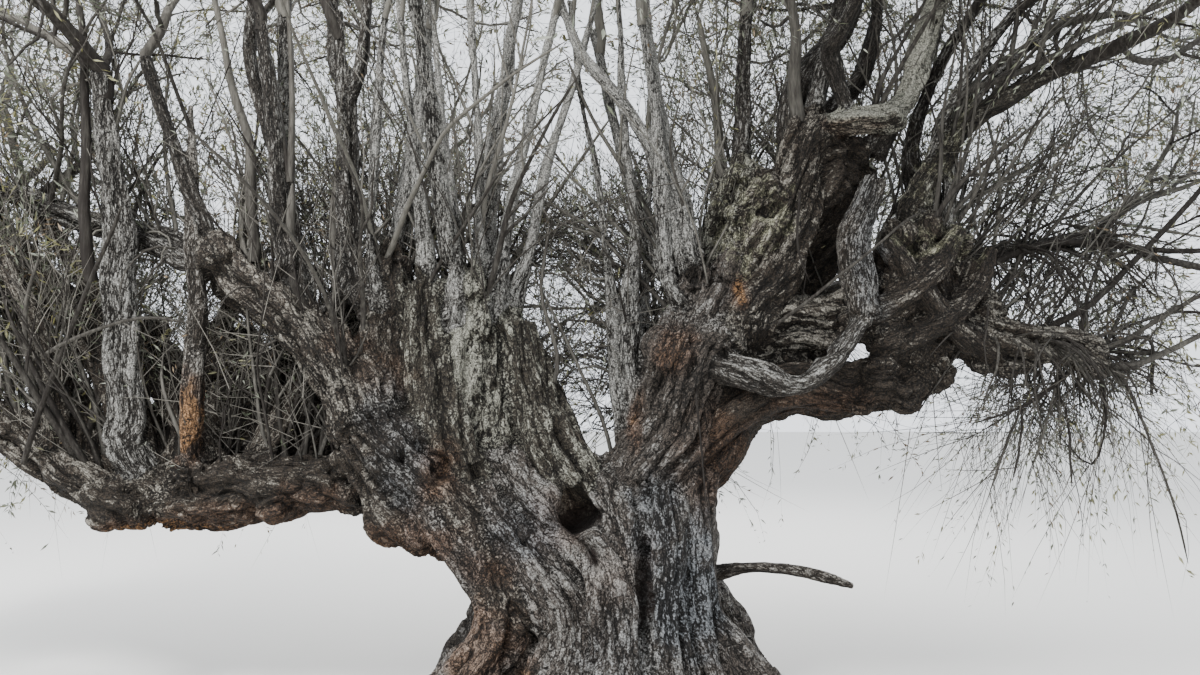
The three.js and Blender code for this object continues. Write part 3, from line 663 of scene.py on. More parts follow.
def bark_material(groups, name, deep, side, crest, fineness, lichen, streaks):
    """Bark or bare wood: colours by groove and crest, with rust, grey wood, moss and lichen marks.
    The streaks, 0 to 1, draw it along the grain instead of in blotches."""
    fibres, patches = groups
    material, tree, shader = new_material(name)
    place, rust = tree.place(), tree.attribute("rust")
    fibre = tree.add("ShaderNodeGroup", {
        "Grain": tree.attribute("grain", "Vector"), "Place": place, "Steady": tree.attribute("steady"),
        "Fineness": fineness}, node_tree=fibres).outputs
    plate = tree.centred(fibre["Plate"])
    level = tree.total((tree.attribute("crest"), 0.40), (fibre["Fibre"], 0.23 + 0.16 * streaks),
                       (fibre["Crumb"], 0.26 - 0.14 * streaks), (fibre["Crack"], 0.19))
    toned = tree.total((level, None), (tree.centred(tree.attribute("tone")), 0.55),
                       (plate, 0.34 - 0.24 * streaks), (tree.centred(fibre["Blotch"]), 0.8 - 0.45 * streaks))
    # Dark in the grooves and cracks and pale on the crests: partly the bark's own colour, partly painted shade
    # and painted highlight.
    dark = tree.mix(tree.ramp(level, 0.26, 0.74), deep, side)
    colour = tree.mix(tree.ramp(toned, 0.54, 1.10), dark, crest)
    speck = tree.ramp(tree.total((level, None), (plate, 0.24)), 0.32, 0.90)
    hot = tree.mix(tree.ramp(rust, 0.62, 0.84), (0.120, 0.062, 0.034), (0.28, 0.145, 0.060))
    rusty = tree.mix(speck, (0.010, 0.005, 0.003), hot)
    colour = tree.mix(tree.total((rust, 0.85)), colour, rusty)
    bare = tree.mix(tree.ramp(speck, 0.22, 0.95), (0.003, 0.0035, 0.004), (0.155, 0.166, 0.176))
    colour = tree.mix(tree.total((tree.attribute("bare"), 0.85)), colour, bare)
    cover = tree.total((tree.attribute("lichen"), 0.42), (lichen, None))
    mossy = tree.total((tree.attribute("moss"), 0.52))
    for amount, size, shade, bright in ((cover, 30.0, (0.034, 0.036, 0.027), (0.205, 0.212, 0.165)),
                                        (mossy, 17.0, (0.044, 0.042, 0.025), (0.300, 0.292, 0.205))):
        spots = tree.add("ShaderNodeGroup", {"Place": place, "Cover": amount, "Size": size}, node_tree=patches)
        colour = tree.mix(tree.total((spots.outputs["Mask"], 0.85)), colour, tree.mix(speck, shade, bright))
    colour = tree.mix(1.0, colour, tree.total((fibre["Grit"], 0.95), (0.58, None)), "MULTIPLY")
    # The hollows and clefts are painted nearly black: painted shade in the recesses.
    colour = tree.mix(tree.attribute("hollow"), colour, (0.012, 0.007, 0.005))
    rough = tree.add("ShaderNodeMapRange", {"Value": fibre["Crumb"], "To Min": 0.72, "To Max": 0.95})
    height = tree.total((fibre["Fibre"], 0.55), (fibre["Crumb"], 0.40), (fibre["Crack"], 0.60))
    bump = tree.add("ShaderNodeBump", {"Height": height, "Strength": 0.9, "Distance": 0.008})
    tree.feed(shader, {"Base Color": colour, "Roughness": rough.outputs["Result"],
                       "Specular IOR Level": 0.25, "Normal": bump.outputs["Normal"]})
    return material


def leaf_material(name, upper, under):
    """A small leathery leaf: its own colour above, paler below, a paler midrib, uneven over the crown"""
    material, tree, shader = new_material(name)
    place = tree.place()
    shade = tree.total((tree.noise(place, 2.2, Detail=3.0), 0.6), (tree.noise(place, 180.0, Detail=1.0), 0.4))
    above = tree.mix(tree.ramp(shade, 0.3, 0.7), tuple(0.62 * c for c in upper), upper)
    midrib = tree.ramp(tree.attribute("midrib"), 0.72, 1.0)
    vein = tuple(0.5 * (a + b) for a, b in zip(upper, under))
    above = tree.mix(tree.total((midrib, 0.5)), above, vein)
    side = tree.add("ShaderNodeNewGeometry").outputs["Backfacing"]
    tree.feed(shader, {"Base Color": tree.mix(side, above, under), "Roughness": 0.5, "Specular IOR Level": 0.4})
    return material


def twig_material(name, dark, pale):
    """Thin bark of twigs and shoots, streaked and blotched"""
    material, tree, shader = new_material(name)
    place = tree.place()
    streaks = tree.add("ShaderNodeMapping", {"Vector": place, "Scale": (60.0, 60.0, 9.0)}).outputs["Vector"]
    fine = tree.noise(streaks, 1.0, Detail=3.0, Roughness=0.7)
    level = tree.total((fine, 0.6), (tree.noise(place, 3.0, Detail=2.0), 0.25), (tree.attribute("tone"), 0.45))
    bump = tree.add("ShaderNodeBump", {"Height": fine, "Strength": 0.5, "Distance": 0.002})
    tree.feed(shader, {"Base Color": tree.mix(tree.ramp(level, 0.36, 0.98), dark, pale), "Roughness": 0.85,
                       "Specular IOR Level": 0.25, "Normal": bump.outputs["Normal"]})
    return material


@functools.cache
def limb_paths():
    """The path of every CAD limb, from a spot inside what it grows from to its tip"""
    draw = np.random.default_rng(LIMB_SEED)
    rough = {name: limb_path(name, draw) for name in LIMBS}
    rough.update(LINES)
    paths = {}
    for name, rows in rough.items():
        parent = LIMBS[name][3]
        if parent is None:
            foot = rows[0, :3] + unit(rows[0, :3] - rows[1, :3]) * rows[0, 3] * 0.7
        else:
            # The first slice is cut slantwise by the parent, so its middle says little.
            rows = rows[2:]
            stem = curve_through(rough[parent])[:, :3]
            foot = stem[((stem - rows[0, :3]) ** 2).sum(1).argmin()]
        foot = np.concatenate([foot, [rows[0, 3] * 0.92]])
        paths[name] = curve_through(np.vstack([foot, rows]))
    return paths


def trunk_core():
    """The CAD trunk, a little slimmer, to lie inside the columns"""
    spots, corners = node_triangles("trunk")
    shape = bmesh.new()
    verts = [shape.verts.new(spot) for spot in spots]
    for corner in corners:
        shape.faces.new([verts[k] for k in corner])
    bmesh.ops.remove_doubles(shape, verts=shape.verts[:], dist=1e-4)
    bmesh.ops.scale(shape, vec=(0.86, 0.84, 0.99), verts=shape.verts[:])
    bmesh.ops.translate(shape, vec=(0, 0, -0.01), verts=shape.verts[:])
    return shape


def wood_solids(draw):
    """Overlapping closed shapes of the whole wood, and the lines its grain follows"""
    parts, lines, wave = Parts(), [], Lattice(SWELL_NOISE)
    parts.take(trunk_core())
    for number, rows in enumerate(COLUMNS):
        path = curve_through(rows, 0.06)
        swell = wave(np.column_stack([path[:, :2] * 3, path[:, 2] * 5 + number * 7]))
        path[:, 3] *= 0.92 + 0.16 * swell
        parts.take(tube(path, CORE_SIDES))
        lines.append((path, 0.08, 0.68 if number < PALE_COLUMNS else 0.45))
    limbs = [(limb_paths()[name], *row[:3]) for name, row in LIMBS.items()]
    limbs += [(curve_through(rows), *row) for _, *row, rows in EXTRAS]
    for path, strands, turns, tone in limbs:
        lines.append((path, turns, tone))
        core = path.copy()
        reach = np.linspace(0, 9 * path[-1, 3], len(path))
        core[:, 3] *= (0.86 if strands else 1.0) * (1 + 0.10 * wave(
            np.column_stack([reach * 3, path[:, 0] * 5, path[:, 2] * 5])))
        parts.take(tube(core, CORE_SIDES))
        _, side, third = frames_along(path[:, :3])
        length = lengths_along(path[:, :3])
        closing = np.clip((length[-1] - length) / 0.30, 0.15, 1.0) if path[-1, 3] < 0.06 else 1.0
        for k in range(strands):
            angle = 2 * math.pi * (k / strands + draw.uniform(-0.06, 0.06) + turns * length)
            angle += 0.5 * wave(np.column_stack([length * 3, np.full_like(length, k * 3.3), length * 0]))
            out = path[:, 3] * draw.uniform(0.54, 0.70) * closing
            strand = path.copy()
            strand[:, :3] += (np.cos(angle) * out)[:, None] * side + (np.sin(angle) * out)[:, None] * third
            thick = 0.42 + 0.10 * wave(np.column_stack([length * 4, np.full_like(length, k * 5.1), length * 0]))
            strand[:, 3] = path[:, 3] * thick * draw.uniform(0.85, 1.12) * np.maximum(closing, 0.5)
            parts.take(tube(strand, STRAND_SIDES))
    for x, y, z, r, tall in BURLS:
        shape = bmesh.new()
        turn = Matrix.Rotation(draw.uniform(0, 6.28), 4, "Z")
        place = Matrix.Translation((x, y, z)) @ turn @ Matrix.Diagonal((r, r * 0.9, r * tall, 1.0))
        bmesh.ops.create_icosphere(shape, subdivisions=3, radius=1.0, matrix=place)
        parts.take(shape)
    return parts, lines


def fused(parts, voxel):
    """One skin round all the overlapping shapes"""
    mesh = bpy.data.meshes.new("wood_rough")
    mesh.from_pydata(np.vstack(parts.spots).tolist(), [], parts.faces)
    thing = placed("wood_rough", mesh)
    skin = thing.modifiers.new("skin", "REMESH")
    skin.mode = "VOXEL"
    skin.voxel_size = voxel
    bpy.context.view_layer.update()
    done = thing.evaluated_get(bpy.context.evaluated_depsgraph_get()).to_mesh()
    spots = read(done.vertices, "co", 3, np.float32)
    corners = read(done.loops, "vertex_index", 1, np.int32)
    if len(corners) != 4 * len(done.polygons):
        raise RuntimeError("the fused skin is not all four-sided")
    bpy.data.objects.remove(thing)
    return spots.astype(float), corners.reshape(-1, 4)


def normals_of(spots, quads):
    """The way each spot of the skin faces"""
    across = spots[quads[:, 2]] - spots[quads[:, 0]], spots[quads[:, 3]] - spots[quads[:, 1]]
    facing = np.cross(*across)
    total = np.zeros_like(spots)
    for axis in range(3):
        total[:, axis] = np.bincount(quads.ravel(), np.repeat(facing[:, axis], 4), len(spots))
    return unit(total)


def relaxed(spots, quads, rounds, share):
    """Spots moved towards the middle of their neighbours"""
    pairs = np.vstack([quads[:, [k, (k + 1) % 4]] for k in range(4)])
    a, b = pairs[:, 0], pairs[:, 1]
    degree = np.maximum(np.bincount(a, minlength=len(spots)), 1)
    for _ in range(rounds):
        mean = np.column_stack([np.bincount(a, spots[b, axis], len(spots)) for axis in range(3)])
        spots = spots + share * (mean / degree[:, None] - spots)
    return spots


def nearest_lines(spots, lines):
    """For each spot the two lines it belongs to most, and how far it is from each in girths"""
    points = np.vstack([path[:, :3] for path, *_ in lines]).astype(np.float32)
    girth = np.concatenate([path[:, 3] for path, *_ in lines]).astype(np.float32)
    starts = np.concatenate([[0], np.cumsum([len(path) for path, *_ in lines])[:-1]])
    owners = np.empty((len(spots), 2), np.int32)
    near = np.empty((len(spots), 2), np.float32)
    for low in range(0, len(spots), BLOCK):
        part = spots[low:low + BLOCK].astype(np.float32)
        apart = (part ** 2).sum(1)[:, None] - 2 * part @ points.T + (points ** 2).sum(1)
        ratio = np.sqrt(np.maximum(apart, 0)) / girth
        best = np.minimum.reduceat(ratio, starts, axis=1)
        order = np.argpartition(best, 1, axis=1)[:, :2]
        picked = np.take_along_axis(best, order, axis=1)
        swap = picked[:, 0] > picked[:, 1]
        order[swap], picked[swap] = order[swap][:, ::-1], picked[swap][:, ::-1]
        owners[low:low + BLOCK], near[low:low + BLOCK] = order, picked
    return owners[:, 0], owners[:, 1], near


def grain_places(spots, owner, lines):
    """Places in the grain of the owner line: two across and one along, and the girth there"""
    grain = np.zeros((len(spots), 3))
    girth = np.zeros(len(spots))
    for number, (path, turns, _) in enumerate(lines):
        mine = np.nonzero(owner == number)[0]
        if not len(mine):
            continue
        line = path[:, :3]
        tangent, side, third = frames_along(line)
        length = lengths_along(line)
        here = spots[mine]
        k = ((here[:, None, :] - line[None]) ** 2).sum(2).argmin(1)
        spacing = length[-1] / (len(line) - 1)
        along = ((here - line[k]) * tangent[k]).sum(1)
        at = np.clip(k + along / spacing, 0, len(line) - 1.001)
        low = at.astype(int)
        part = (at - low)[:, None]
        middle = line[low] * (1 - part) + line[low + 1] * part
        u = unit(side[low] * (1 - part) + side[low + 1] * part)
        v = unit(third[low] * (1 - part) + third[low + 1] * part)
        off = here - middle
        s = length[k] + along
        a, b = (off * u).sum(1), (off * v).sum(1)
        turn = -2 * math.pi * turns * s
        grain[mine, 0] = a * np.cos(turn) - b * np.sin(turn) + number * 1.37
        grain[mine, 1] = a * np.sin(turn) + b * np.cos(turn) + number * 2.11
        grain[mine, 2] = s
        girth[mine] = path[low, 3]
    return grain, girth


def patch_mask(spots, patches, ragged):
    """How strongly each spot is marked by patches with uneven edges"""
    mask = np.zeros(len(spots))
    for row in patches:
        far = np.sqrt(far_from(spots, row))
        mask = np.maximum(mask, row[6] * step01(1.15, 0.45, far + 0.55 * ragged))
    return mask


def relief(grain, noises):
    """Heights of the flutes, strands and fibres of the wood, each 0 in its groove"""
    warp, flute, strand, fibre, lump = noises
    bend = 0.045 * warp(grain * (3.0, 3.0, 1.4))
    wiggle = 0.016 * warp(grain * (9.0, 9.0, 5.0) + 40)
    moved = grain + np.column_stack([bend + wiggle, wiggle - bend, 0 * bend])
    tops = step01(0.0, 0.42, np.abs(flute(moved * (7.0, 7.0, 0.9))))
    ropes = step01(0.0, 0.38, np.abs(strand(moved * (17.0, 17.0, 2.0))))
    hairs = step01(0.0, 0.40, np.abs(fibre(moved * (38.0, 38.0, 4.5))))
    swell = lump(grain * (4.2, 4.2, 2.2) + 9)
    return np.column_stack([tops, ropes, hairs, swell])


def grow_wood(settings):
    """The skin of the whole wood with its relief: spots, faces, owner lines, normals, grain and marks"""
    parts, lines = wood_solids(np.random.default_rng(WOOD_SEED))
    spots, quads = fused(parts, settings.voxel)
    spots = relaxed(spots, quads, 2, 0.6)
    facing = normals_of(spots, quads)
    first, second, near = nearest_lines(spots, lines)
    weight = 1 / np.maximum(near, 0.05) ** 7
    weight /= weight.sum(1)[:, None]
    grain, girth = grain_places(spots, first, lines)
    other, other_girth = grain_places(spots, second, lines)
    noises = [Lattice(RELIEF_NOISE + k) for k in range(5)]
    mine, theirs = relief(grain, noises), relief(other, noises)
    height = mine * weight[:, :1] + theirs * weight[:, 1:]
    girth = girth * weight[:, 0] + other_girth * weight[:, 1]
    heavy = np.clip(girth / 0.16, 0.16, 1.15)
    tops, ropes, hairs, swell = height.T
    rise = (FLUTE_DEPTH * (tops - 0.62) + STRAND_DEPTH * (ropes - 0.62) + FIBRE_DEPTH * (hairs - 0.6)
            + SWELL_HEIGHT * swell)
    rise *= heavy * settings.relief
    ragged = noises[0](spots * 7.0) * 0.6 + noises[1](spots * 19.0) * 0.4
    # How deep each spot lies in a hollow, kept to paint shade into the hollows and clefts.
    hollow = np.zeros(len(spots))
    for row in HOLLOWS:
        dip = step01(1.15, 0.35, np.sqrt(far_from(spots, row)) + 0.25 * ragged)
        rise -= row[6] * dip
        hollow = np.maximum(hollow, dip * min(1.0, row[6] / 0.09))
    spots = spots + facing * rise[:, None]
    spots[:, 2] = np.maximum(spots[:, 2], 0.0)
    facing = normals_of(spots, quads)
    # The crest mark runs from 0 in the grooves to 1 on the crests and colours the bark dark to pale: partly its
    # own colour, partly painted shade in the grooves and painted highlight on the crests.
    crest = 0.40 * tops + 0.36 * ropes + 0.24 * hairs
    steady = step01(0.52, 0.80, weight.max(1))
    tones = np.array([tone for *_, tone in lines])
    tone = tones[first] * weight[:, 0] + tones[second] * weight[:, 1]
    # The palest stems are greyer at the foot: the painted haze light in their tones fades out downwards.
    tone -= np.maximum(tone - 0.92, 0) * step01(3.1, 1.9, spots[:, 2])
    up = step01(-0.1, 0.8, facing[:, 2])
    # Faces that look down are painted darker in tone and crest: painted shade on the undersides of the limbs.
    under = step01(0.05, -0.75, facing[:, 2])
    tone = tone - 0.36 * under
    crest = crest * (1 - 0.30 * under)
    lichen = np.clip(0.45 * up + 0.35 * noises[2](spots * 3.0) + 0.25 * (tone - 0.4), 0, 1)
    marks = {
        "crest": crest, "steady": steady, "tone": tone,
        "rust": patch_mask(spots, RUST, ragged), "bare": patch_mask(spots, BARE, ragged),
        "moss": patch_mask(spots, MOSS, ragged) * (0.80 + 0.20 * up), "lichen": lichen,
        "hollow": step01(0.45, 1.0, hollow),
    }
    return spots, quads, first, facing, grain, marks


# piece: (material slot, CAD nodes it stands for)
WOOD_PIECES = {
    "wood_trunk": ("trunk_bark", ["trunk"]),
    "wood_trunk_back": ("trunk_bark", []),
    "wood_right_stem": ("trunk_bark", ["right_stem"]),
    "wood_left_bough": ("bough_bark", ["left_bough_lower", "left_bough_upper"]),
    "wood_left_arm": ("bough_bark", ["left_arm_inner", "left_arm_outer"]),
    "wood_left_thicket": ("bough_bark", []),
    "wood_left_head": ("bough_bark", ["left_head"]),
    "wood_back_boughs": ("bough_bark", ["back_bough_left", "back_bough_middle", "back_bough_right"]),
    "wood_right_bough": ("bough_bark", ["right_bough", "right_core"]),
    "wood_right_hub": ("bough_bark", ["right_hub", "right_reach", "right_twist"]),
    "wood_middle_head": ("lichened_bark", ["middle_head"]),
    "wood_mossy_knob": ("lichened_bark", ["mossy_knob", "right_loop", "right_strand_low"]),
    "wood_left_stems": ("stem_bark", ["left_bough_reach", "left_stem_pale", "left_stem_behind",
                                      "left_stem_tall", "left_stem_inner"]),
    "wood_middle_stems": ("stem_bark", ["middle_stem_left", "middle_stem_right", "middle_stem_front",
                                        "gap_stem_left", "gap_stem_right"]),
    "wood_right_stems": ("stem_bark", ["right_reach_upper", "right_hugging_limb", "right_stem_straight",
                                       "right_stem_dark", "front_bough_right"]),
    "wood_left_stub": ("dead_wood", ["left_stub_broken"]),
    "wood_pale_stump": ("dead_wood", ["right_stump_pale"]),
    "wood_low_limb": ("dead_wood", []),
}


def wood_pieces(settings, materials):
    """The skin of the wood, cut into pieces along the limbs"""
    spots, quads, first, facing, grain, marks = grow_wood(settings)
    labels = list(WOOD_PIECES)
    home = {node: number for number, (_, nodes) in enumerate(WOOD_PIECES.values()) for node in nodes}
    column_piece = ["wood_trunk"] * FRONT_COLUMNS + ["wood_trunk_back"] * (len(COLUMNS) - FRONT_COLUMNS)
    owner_piece = np.array([labels.index(piece) for piece in column_piece] + [home[name] for name in LIMBS]
                           + [labels.index(row[0]) for row in EXTRAS])
    piece_of_face = owner_piece[first[quads[:, 0]]]
    for number, (piece, (slot, nodes)) in enumerate(WOOD_PIECES.items()):
        used, index = np.unique(quads[piece_of_face == number], return_inverse=True)
        thing = mesh_from(piece, spots[used], index.reshape(-1, 4), [materials[slot]])
        thing.data.normals_split_custom_set_from_vertices(facing[used].tolist())
        for mark, values in {"grain": grain, **marks}.items():
            store(thing, mark, values[used])
        finish_piece(thing, slot, nodes)


MASSES = sorted(name for name in NODES if name.startswith("foliage"))
CROWN_GROUPS = ["left", "middle", "right", "back_left", "back_right", "top"]


class Mass:
    """A leaf mass of the CAD model, as a place to grow into"""

    def __init__(self, name):
        spots, corners = node_triangles(name)
        self.name = name
        self.low, self.high = spots.min(0), spots.max(0)
        self.middle = (self.low + self.high) / 2
        self.tree = BVHTree.FromPolygons(spots.tolist(), corners.tolist())
        self.group = CROWN_GROUPS.index(self.side())

    def side(self):
        """Which group of crown pieces stands for it, by where it is"""
        x, y, _ = self.middle
        if self.name.startswith("foliage_top"):
            return "top"
        if y > BACK_FROM:
            return "back_left" if x < 0 else "back_right"
        if x < -SIDE_FROM:
            return "left"
        return "right" if x > SIDE_FROM else "middle"

    def holds(self, spot):
        where, facing, _, _ = self.tree.find_nearest(Vector(spot))
        return (Vector(spot) - where).dot(facing) < 0


def growth_targets(masses, draw):
    """Spots spread through the leaf masses, none nearer to another than the spacing"""
    kept = []
    for mass in masses:
        mine = []
        size = mass.high - mass.low
        tries = int(4 * np.prod(size) / TARGET_SPACING ** 3)
        for spot in mass.low + draw.random((tries, 3)) * size:
            if mine and ((np.array(mine) - spot) ** 2).sum(1).min() < TARGET_SPACING ** 2:
                continue
            if mass.holds(spot):
                mine.append(spot)
        kept += mine
    return np.array(kept)


def join_up(targets, seeds, seed_ways):
    """Joins every target to the growing network by the cheapest reach, favouring short, straight ways.
    Gives for each target the number of what it grows from: a seed below len(seeds), else a target."""
    count = len(targets)
    parent = np.full(count, -1)
    cost = np.full(count, np.inf)
    spots = np.vstack([seeds, targets])
    ways = np.vstack([seed_ways, np.zeros_like(targets)])
    travelled = np.zeros(len(spots))
    open_targets = np.ones(count, bool)
    order = []

    def offer(k):
        gap = targets - spots[k]
        apart = np.linalg.norm(gap, axis=1)
        turn = 1 - (gap / np.maximum(apart, 1e-6)[:, None]) @ ways[k]
        value = apart * (1 + 0.55 * turn) + 0.22 * travelled[k]
        better = open_targets & (value < cost)
        cost[better] = value[better]
        parent[better] = k

    for k in range(len(seeds)):
        offer(k)
    for _ in range(count):
        t = int(np.where(open_targets, cost, np.inf).argmin())
        k = parent[t]
        me = len(seeds) + t
        open_targets[t] = False
        way = targets[t] - spots[k]
        length = np.linalg.norm(way)
        travelled[me] = travelled[k] + length
        ways[me] = unit(0.35 * ways[k] + 0.65 * way / max(length, 1e-6))
        order.append(t)
        offer(me)
    return parent, order


def swayed(path, bend, rounds, draw):
    """A path made unsteady by up to about bend metres, but for its foot"""
    sway = draw.normal(size=(len(path), 3))
    for _ in range(rounds):
        sway[1:-1] = (sway[:-2] + sway[1:-1] + sway[2:]) / 3
    sway[0] = 0
    path[:, :3] += bend * sway
    return path


class Grower:
    """Collects limbs of the crown as rows of x, y, z, radius"""

    def __init__(self):
        self.paths = []

    def add(self, points, start, end, bend, draw):
        """One limb through the points, thinning from start to end, unsteady by bend metres"""
        rows = np.column_stack([np.asarray(points, float), np.linspace(start, end, len(points))])
        self.paths.append(swayed(curve_through(rows, 0.09), bend, 2, draw))
        return self.paths[-1]


def walk(foot, way, length, steps, wander, lift, draw, veer=0.0):
    """Gives, step by step, the spots of an unsteady walk and the way at each"""
    for _ in range(steps):
        way = unit(way + veer + wander * draw.normal(size=3) + (0, 0, lift))
        foot = foot + way * length / steps
        yield foot, way


def walked(foot, *how, **more):
    """All spots of a walk, its foot first"""
    return [foot] + [spot for spot, _ in walk(foot, *how, **more)]


def leading_shoots(grower, row, way, draw):
    """Carries a cut tip on upwards as a thinning leader with a few forks"""
    forks = [(row[:3], unit(way + (0, 0, 0.3)), min(0.045, row[3]), draw.uniform(1.3, 1.9))]
    while forks:
        foot, way, radius, length = forks.pop()
        points = [foot]
        steps = walk(foot, way, length, 5, 0.14, 0.03, draw, veer=0.12 * draw.normal(size=3))
        for number, (spot, way) in enumerate(steps):
            points.append(spot)
            if number in (1, 2, 3) and radius > 0.010 and draw.random() < 0.85:
                aside = unit(way + 0.8 * unit(np.cross(way, draw.normal(size=3))))
                forks.append((spot, aside, radius * 0.55, length * draw.uniform(0.45, 0.7)))
        grower.add(points, radius, TIP_RADIUS, 0.010, draw)


def crown_seeds(masses):
    """The tips that the crown grows on from: their spots, ways and girths, and a row before each"""
    stems = list(limb_paths().values())
    stems += [curve_through(rows if rows[-1][3] < rows[0][3] else rows[::-1])
              for *_, rows in EXTRAS if min(rows[0][3], rows[-1][3]) < SEED_RADIUS]
    seeds, ways, girths, seed_rows = [], [], [], []
    for path in stems:
        tip = path[-1]
        inside = any(mass.holds(tip[:3] + 0.06 * unit(path[-1, :3] - path[-3, :3])) for mass in masses)
        if not inside and tip[2] < 2.8:
            continue
        seeds.append(tip[:3])
        seed_rows.append(np.concatenate([path[-4, :3], [min(0.05, tip[3] * 0.86)]]))
        ways.append(unit(path[-1, :3] - path[-4, :3]))
        girths.append(min(0.045 if tip[2] > 1.95 else 0.020, tip[3] * 0.86))
    return np.array(seeds), np.array(ways), girths, seed_rows


def crown_network(masses, draw):
    """The boughs inside the leaf masses, growing on from the tips of the limbs"""
    seeds, ways, girths, seed_rows = crown_seeds(masses)
    targets = growth_targets(masses, draw)
    parent, order = join_up(targets, seeds, ways)
    base = len(seeds)
    carried = np.zeros(base + len(targets))
    for t in reversed(order):
        carried[base + t] += 1
        carried[parent[t]] += carried[base + t]
    children = {}
    for t in order:
        children.setdefault(int(parent[t]), []).append(base + t)
    spots = np.vstack([seeds, targets])
    for _ in range(2):
        # Each fork moves towards the middle of what it grows from and its thickest child.
        moved = spots.copy()
        for t in order:
            k = base + t
            if children.get(k):
                heir = max(children[k], key=lambda c: carried[c])
                moved[k] = 0.5 * spots[k] + 0.25 * (spots[parent[t]] + spots[heir])
        spots = moved
    girth = np.zeros(len(spots))
    girth[:base] = girths
    grower = Grower()
    for k in range(base):
        if not children.get(k):
            leading_shoots(grower, seed_rows[k], ways[k], draw)
    starts = [(k, None) for k in range(base)]

    def share(young, old):
        return (carried[young] / max(carried[old], 1)) ** 0.45

    while starts:
        k, before = starts.pop()
        chain = [k] if before is None else [before, k]
        own = girth[chain[0]]
        if before is not None:
            own = min(girth[before] * 0.86, max(THINNEST * 1.2, girth[before] * share(k, before)))
            girth[k] = own
        radii = [own] * len(chain)
        while children.get(k):
            young = sorted(children[k], key=lambda c: -carried[c])
            heir = young[0]
            girth[heir] = max(THINNEST, girth[k] * min(1.0, share(heir, k)))
            starts += [(other, k) for other in young[1:]]
            chain.append(heir)
            radii.append(girth[heir])
            k = heir
        if len(chain) < 2:
            continue
        rows = np.column_stack([spots[chain], radii])
        if before is None:
            inner = seed_rows[chain[0]]
            rows = np.vstack([inner, rows])
            rows[1:3, 3] = np.minimum(rows[1:3, 3], inner[3])
        path = swayed(curve_through(rows, 0.08), 0.012, 1, draw)
        path[:, 3] = np.maximum(path[:, 3], TIP_RADIUS)
        grower.paths.append(path)
    return grower


# node, share of its length where shoots start and end, how many, lean in x, longest, thickest radius,
# and how many in a hundred stand at the back of it
SHOOTS = [
    ("left_arm_outer", 0.05, 0.95, 60, -0.15, 1.7, 0.026, 78),
    ("left_arm_inner", 0.10, 0.98, 44, -0.05, 1.4, 0.022, 82),
    ("left_bough_upper", 0.25, 0.98, 30, -0.15, 1.5, 0.020, 85),
    ("left_bough_reach", 0.10, 0.98, 26, -0.15, 1.5, 0.018, 60),
    ("left_head", 0.62, 0.99, 16, 0.00, 1.8, 0.020, 60),
    ("middle_head", 0.60, 0.99, 26, 0.05, 1.9, 0.020, 60),
    ("left_stem_pale", 0.45, 0.98, 10, -0.10, 1.3, 0.014, 60),
    ("right_stem", 0.55, 0.99, 16, -0.30, 1.6, 0.020, 95),
    ("right_core", 0.20, 0.95, 16, -0.05, 1.6, 0.018, 100),
    ("mossy_knob", 0.55, 0.99, 12, 0.00, 1.5, 0.014, 100),
    ("right_hub", 0.50, 0.99, 34, 0.65, 1.9, 0.022, 70),
    ("right_reach", 0.20, 0.98, 22, 0.75, 1.3, 0.015, 60),
    ("right_reach_upper", 0.20, 0.98, 18, 0.85, 1.4, 0.013, 60),
    ("right_strand_low", 0.35, 0.98, 22, 0.75, 1.5, 0.016, 60),
    ("right_loop", 0.30, 0.98, 10, 0.15, 1.2, 0.014, 90),
    ("back_bough_left", 0.30, 0.98, 22, -0.10, 1.9, 0.022, 50),
    ("back_bough_middle", 0.30, 0.98, 20, 0.05, 1.9, 0.022, 50),
    ("back_bough_right", 0.30, 0.98, 20, 0.15, 1.9, 0.022, 50),
]
# node, share of its length where hanging sprays start and end, how many, longest
HANGING = [
    ("right_reach", 0.35, 1.0, 70, 0.72), ("right_reach_upper", 0.30, 1.0, 40, 0.80),
    ("right_hub", 0.10, 0.50, 6, 0.26), ("right_bough", 0.20, 0.80, 6, 0.22),
    ("left_bough_upper", 0.20, 0.90, 10, 0.45), ("left_bough_reach", 0.10, 0.90, 14, 0.50),
    ("back_bough_left", 0.40, 1.0, 16, 0.60), ("back_bough_right", 0.40, 1.0, 18, 0.65),
    ("back_bough_middle", 0.30, 1.0, 10, 0.50),
]
